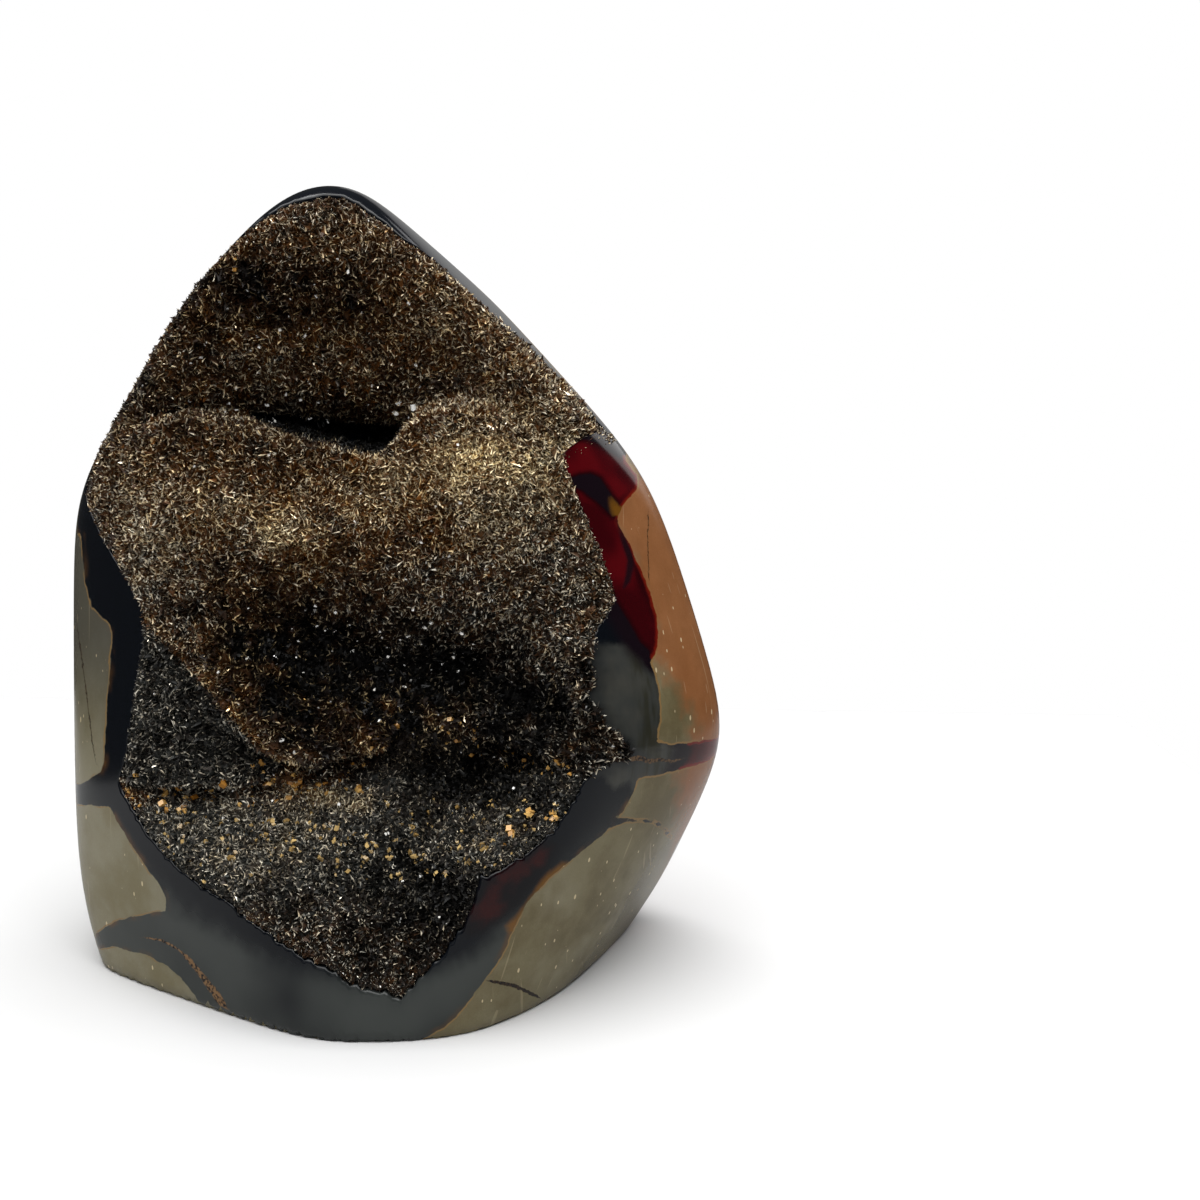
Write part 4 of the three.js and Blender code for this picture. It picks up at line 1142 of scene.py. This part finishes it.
def calcite_tint(tree, at, broad, into, by_plate):
    """Near-black calcite: greyer in patches low down, clear by the rim, brown beside plates, with the grey of
    cloudy calcite and of a painted reflection.
    """
    height = place(tree, "ShaderNodeSeparateXYZ", {0: at}).outputs["Z"]
    from_rim = calculate(tree, "MULTIPLY_ADD", broad, 4.0, stored(tree, "rim_away").outputs["Fac"])
    from_rim_low = calculate(tree, "MULTIPLY_ADD", step(tree, 14.0, 6.0, height), 8.0, from_rim)
    low = times(tree, step(tree, 34.0, 12.0, height), step(tree, 2.0, 11.0, from_rim_low))
    low_grey_share = times(tree, step(tree, 0.1, 0.6, noise(tree, at, 0.06, 2.0)), low)
    calcite = blend(tree, low_grey_share, INK, LOW_GREY)
    in_places = noise(tree, at, 0.2, 2.0)
    brown = times(tree, step(tree, 0.8, 0.05, into), step(tree, 0.45, 0.7, in_places))
    calcite = blend(tree, times(tree, brown, 0.6), calcite, EDGE_BROWN)
    clear_in = calculate(tree, "MULTIPLY_ADD", broad, 3.0, stored(tree, "clear_red").outputs["Fac"])
    calcite = blend(tree, times(tree, step(tree, -1.2, 0.6, clear_in), 0.9), calcite, BLACK_CALCITE)
    ember = times(tree, step(tree, 0.0, 1.6, clear_in), step(tree, 0.46, 0.66, in_places))
    calcite = blend(tree, times(tree, ember, 0.7), calcite, EMBER)
    # Grey where the calcite is cloudy, and a painted reflection beside the upper red lobe.
    pale_grey_in = calculate(tree, "MULTIPLY_ADD", broad, 2.0, stored(tree, "clouded").outputs["Fac"])
    pale_grey_in = calculate(tree, "ADD", by_plate, pale_grey_in)
    pale_grey_share = times(tree, step(tree, -0.4, 0.8, pale_grey_in), step(tree, -2.0, 6.0, from_rim))
    return blend(tree, times(tree, pale_grey_share, 0.8), calcite, grey_tint(tree, at, into))


def crack_lines_tint(tree, at, fine):
    """How far inside a crack a place lies, and the crack's own tint: black, or tan with crumbs."""
    crack = place(tree, "ShaderNodeSeparateXYZ", {0: stored(tree, "crack").outputs["Vector"]}).outputs
    away = calculate(tree, "ABSOLUTE", calculate(tree, "MULTIPLY_ADD", fine, 0.4, crack["X"]))
    inside = calculate(tree, "SUBTRACT", crack["Y"], away)
    crumbs = times(tree, crack["Z"], step(tree, 0.36, 0.6, noise(tree, at, 2.2, 3.0)))
    return inside, blend(tree, crumbs, CRACK_BLACK, CRACK_TAN)


def polished_stone_finish(surface_group):
    """Mudstone plates and calcite, parted by the distances that mark_stone stores."""
    material, tree, shader = new_finish("polished_mudstone_and_calcite")
    at = millimetre_places(tree)
    broad = calculate(tree, "SUBTRACT", noise(tree, at, 0.35, 3.0), 0.5)
    fine = calculate(tree, "SUBTRACT", noise(tree, at, 1.6, 2.0), 0.5)
    wander = calculate(tree, "MULTIPLY_ADD", broad, 0.7, times(tree, fine, 0.15))
    grain = noise(tree, at, 5.0, 3.0)
    ground = place(tree, "ShaderNodeGroup", {}, node_tree=surface_group)
    feed(tree, at, ground.inputs["Position"])
    ground.inputs["Amount"].default_value = 0.8

    into = calculate(tree, "ADD", stored(tree, "calcite").outputs["Fac"], wander)
    is_calcite = step(tree, -0.06, 0.06, into)
    by_plate = step(tree, 0.9, 0.1, into)
    red_in = calculate(tree, "MULTIPLY_ADD", wander, 0.4, stored(tree, "red").outputs["Fac"])
    red_in = calculate(tree, "MULTIPLY_ADD", by_plate, 0.6, red_in)
    by_red = step(tree, -3.0, -1.0, red_in)

    mudstone = mudstone_tint(tree, at, broad, grain)
    mudstone = blend(tree, ground.outputs["Fleck"], mudstone, FLECK)
    mudstone = blend(tree, times(tree, ground.outputs["Scratch"], 0.2), mudstone, FLECK)
    mudstone = blend(tree, seam_lines(tree, at, into, by_red), mudstone, SEAM_TAN)

    calcite = calcite_tint(tree, at, broad, into, by_plate)
    calcite = blend(tree, by_red, calcite, PLUM)
    golden_in = calculate(tree, "MULTIPLY_ADD", broad, 1.0, stored(tree, "golden").outputs["Fac"])
    calcite = blend(tree, times(tree, step(tree, -0.5, 0.5, golden_in), 0.6), calcite, GOLD)
    calcite = blend(tree, step(tree, -0.1, 0.2, red_in), calcite, red_tint(tree, at, into, red_in, wander))

    both = blend(tree, is_calcite, mudstone, calcite)
    crack_in, crack_tint = crack_lines_tint(tree, at, fine)
    both = blend(tree, step(tree, -0.05, 0.08, crack_in), both, crack_tint)
    tree.links.new(both, shader.inputs["Base Color"])

    rough = calculate(tree, "MULTIPLY_ADD", grain, 0.1, 0.2)
    tree.links.new(blend_value(tree, is_calcite, rough, 0.12), shader.inputs["Roughness"])
    shader.inputs["Specular IOR Level"].default_value = CALCITE_SPECULAR
    bump = place(tree, "ShaderNodeBump", {
        "Strength": 0.12, "Distance": 0.02 * MM, "Height": ground.outputs["Height"]})
    tree.links.new(bump.outputs[0], shader.inputs["Normal"])
    return material


def crystal_finish(name, tint_group, on_blades):
    """The finish of the crust's bed, or of the blades that stand on it."""
    material, tree, shader = new_finish(name)
    at = millimetre_places(tree)
    tint = place(tree, "ShaderNodeGroup", {}, node_tree=tint_group)
    for label in ("Light", "Warmth", "Dull"):
        feed(tree, stored(tree, label.lower()).outputs["Fac"], tint.inputs[label])
    if on_blades:
        feed(tree, stored(tree, "tone").outputs["Fac"], tint.inputs["Tone"])
        feed(tree, stored(tree, "tip").outputs["Fac"], tint.inputs["Tip"])
        glint = step(tree, *GLINTING, stored(tree, "tone").outputs["Fac"])
        rough = blend_value(tree, glint, 0.5, 0.2)
        tree.links.new(glint, shader.inputs["Metallic"])
    else:
        feed(tree, noise(tree, at, 2.6, 2.0), tint.inputs["Tone"])
        feed(tree, step(tree, 0.5, 0.9, noise(tree, at, 3.1, 2.0)), tint.inputs["Tip"])
        rough = blend_value(tree, noise(tree, at, 1.1, 2.0), 0.3, 0.5)
    tree.links.new(tint.outputs["Color"], shader.inputs["Base Color"])
    tree.links.new(rough, shader.inputs["Roughness"])
    shader.inputs["Specular IOR Level"].default_value = CALCITE_SPECULAR
    return material


def rhomb_finish(name, deep, clear, glow=0.0):
    """Clear rhombs, each between two tints, with the glow that stands for a glint."""
    material, tree, shader = new_finish(name)
    tint = blend(tree, stored(tree, "tone").outputs["Fac"], deep, clear)
    tree.links.new(tint, shader.inputs["Base Color"])
    speckle = noise(tree, millimetre_places(tree), 2.0, 2.0)
    tree.links.new(calculate(tree, "MULTIPLY_ADD", speckle, 0.2, 0.05), shader.inputs["Roughness"])
    shader.inputs["Emission Color"].default_value = clear
    shader.inputs["Emission Strength"].default_value = glow
    shader.inputs["IOR"].default_value = CALCITE_IOR
    shader.inputs["Specular IOR Level"].default_value = RHOMB_SPECULAR
    return material


def floor_finish():
    """A pale floor that shows darker in the stone's polish."""
    material, tree, shader = new_finish("pale_floor")
    at = millimetre_places(tree)
    pale = blend(tree, noise(tree, at, 0.004, 2.0), colour(196, 196, 196), colour(200, 200, 200))
    in_gloss = place(tree, "ShaderNodeLightPath").outputs["Is Glossy Ray"]
    seen_in_gloss = blend(tree, 1 - FLOOR_GLOSS, pale, (0, 0, 0, 1))
    tree.links.new(blend(tree, in_gloss, pale, seen_in_gloss), shader.inputs["Base Color"])
    shader.inputs["Roughness"].default_value = 0.6
    return material


# ================= Pieces =================

# Each band of blades: crystals per mm2, length, width, thickness, least share of full size, lean, seed.
BLADE_BANDS = (
    ("upper_blades", 13.4, 0.84, 1.65, 0.14, 0.6, 0.55, 3),
    ("brow_blades", 13.4, 0.84, 1.7, 0.14, 0.62, 0.55, 5),
    ("lobe_blades", 13.4, 0.84, 1.55, 0.14, 0.6, 0.55, 6),
    ("dark_blades", 13.4, 0.86, 1.55, 0.14, 0.55, 0.6, 7),
    ("floor_blades", 15.0, 0.82, 1.15, 0.15, 0.5, 0.6, 9),
)
# Each scatter of rhombs: mask, finish, crystals per mm2, width, least share of full size, seed.
RHOMB_SCATTERS = (
    ("amber_crystals", "amber", "amber", 0.45, 1.25, 0.4, 13),
    ("amber_points", "amber_spots", "amber", 1.8, 1.7, 0.6, 17),
    ("pale_crystals", "pale", "pale", 0.5, 1.15, 0.3, 19),
    ("pale_points", "pale_spots", "pale", 1.8, 1.4, 0.5, 21),
    # The white points and the sparkles glow as painted glints.
    ("white_points", "white_spots", "white", 1.8, 1.5, 0.6, 27),
    ("sparkles", "sparkle", "white", 0.26, 0.85, 0.2, 23),
)
RHOMB_TALL, RHOMB_THICK, RHOMB_LEAN = 0.8, 0.65, 0.7


def settle(piece, node=None):
    """Says what a piece rides on, and which node of the solids it replaces."""
    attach(piece, "root")
    if node:
        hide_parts(node)


def dress():
    tint_group = crystal_tint_group()
    stone, stone_points, rim_away = build_stone()
    mark_stone(stone, stone_points, rim_away)
    stone.data.materials.append(polished_stone_finish(ground_surface_group()))
    settle(stone, "nodule")

    crust, crust_points, share = build_crust()
    mark_crust(crust, crust_points, share)
    crust.data.materials.append(crystal_finish("druse_bed", tint_group, False))
    settle(crust, "druse_crust")

    blade_finish = crystal_finish("druse_blades", tint_group, True)
    blade_tree = crystal_tree("calcite blades", plate_form)
    for mask, count, length, width, thickness, least, lean, seed in BLADE_BANDS:
        piece = grow(mask, crust, blade_tree, {
            "Where": mask, "Crystals per mm2": count, "Length": length, "Width": width,
            "Thickness": thickness, "Least Share": least, "Lean": lean, "Seed": seed, "Finish": blade_finish})
        settle(piece)

    rhomb_finishes = {
        "amber": rhomb_finish("amber_calcite", AMBER, HONEY),
        "pale": rhomb_finish("pale_calcite", CREAM, STRAW),
        # White crystals, whose glow is a painted glint.
        "white": rhomb_finish("white_calcite_glints", ASH, SNOW, GLINT_GLOW),
    }
    rhomb_tree = crystal_tree("calcite rhombs", rhomb_form)
    for name, mask, finish, count, size, least, seed in RHOMB_SCATTERS:
        piece = grow(name, crust, rhomb_tree, {
            "Where": mask, "Crystals per mm2": count, "Length": RHOMB_TALL * size, "Width": size,
            "Thickness": RHOMB_THICK * size, "Least Share": least, "Lean": RHOMB_LEAN, "Seed": seed,
            "Finish": rhomb_finishes[finish]})
        settle(piece)


# ================= Stage =================

FLOOR_SIZE = 0.32
# Each light: where it stands, what it aims at, its size and its power, in metres and watts.
SOFTBOX = ((0.0, -0.1, 0.8), (0, 0, 0.05), 1.2, 22.0)
FRONT_FILL = ((-0.35, -0.9, 0.45), (0, 0, 0.05), 0.6, 0.6)
WORLD_LIGHT, WORLD_GLOSS = 0.13, 0.04
FLOOR_GLOSS = 0.55
# Two pale cards behind the stone, whose reflections run down its right edge.
BAND_CARD = ((0.5, 0.75, 0.48), (0.02, 0, 0.09), 0.5, 0.9)
EDGE_CARD = ((0.12, 0.97, 0.3), (0.02, 0, 0.09), 0.5, 0.25)


def make_camera():
    data = bpy.data.cameras.new("camera")
    data.lens = LENS
    data.sensor_width = SENSOR
    data.clip_start = 0.01
    camera = bpy.data.objects.new("camera", data)
    pitched = Matrix.Rotation((90 - EYE_PITCH) * DEGREE, 4, "X")
    rolled = Matrix.Rotation(EYE_ROLL * DEGREE, 4, "Z")
    camera.matrix_world = Matrix.Translation(Vector(EYE) * MM) @ pitched @ rolled
    bpy.context.scene.collection.objects.link(camera)
    bpy.context.scene.camera = camera


def make_light(name, place_at, aim, size, watts):
    data = bpy.data.lights.new(name, "AREA")
    data.size = size
    data.energy = watts
    light = bpy.data.objects.new(name, data)
    light.location = place_at
    light.rotation_euler = (Vector(aim) - Vector(place_at)).to_track_quat("-Z", "Y").to_euler()
    light.visible_camera = False
    bpy.context.scene.collection.objects.link(light)


def make_world():
    """White behind the stone, and a weaker light all round."""
    world = bpy.data.worlds.new("studio")
    world.use_nodes = True
    tree = world.node_tree
    background = tree.nodes["Background"]
    ray = place(tree, "ShaderNodeLightPath")
    background.inputs["Color"].default_value = (1, 1, 1, 1)
    around = blend_value(tree, ray.outputs["Is Glossy Ray"], WORLD_LIGHT, WORLD_GLOSS)
    strength = blend_value(tree, ray.outputs["Is Camera Ray"], around, 1.0)
    tree.links.new(strength, background.inputs["Strength"])
    bpy.context.scene.world = world


def make_stage():
    half = FLOOR_SIZE / 2 / MM
    corners = np.array([(-half, -half, 0), (half, -half, 0), (half, half, 0), (-half, half, 0)])
    floor = make_object("floor", corners, [(0, 1, 2, 3)], False)
    floor.data.materials.append(floor_finish())
    make_world()
    make_light("softbox", *SOFTBOX)
    make_light("front_fill", *FRONT_FILL)
    make_light("band_card", *BAND_CARD)
    make_light("edge_card", *EDGE_CARD)
    bpy.context.scene.view_settings.view_transform = "Standard"


make_camera()
dress()
make_stage()
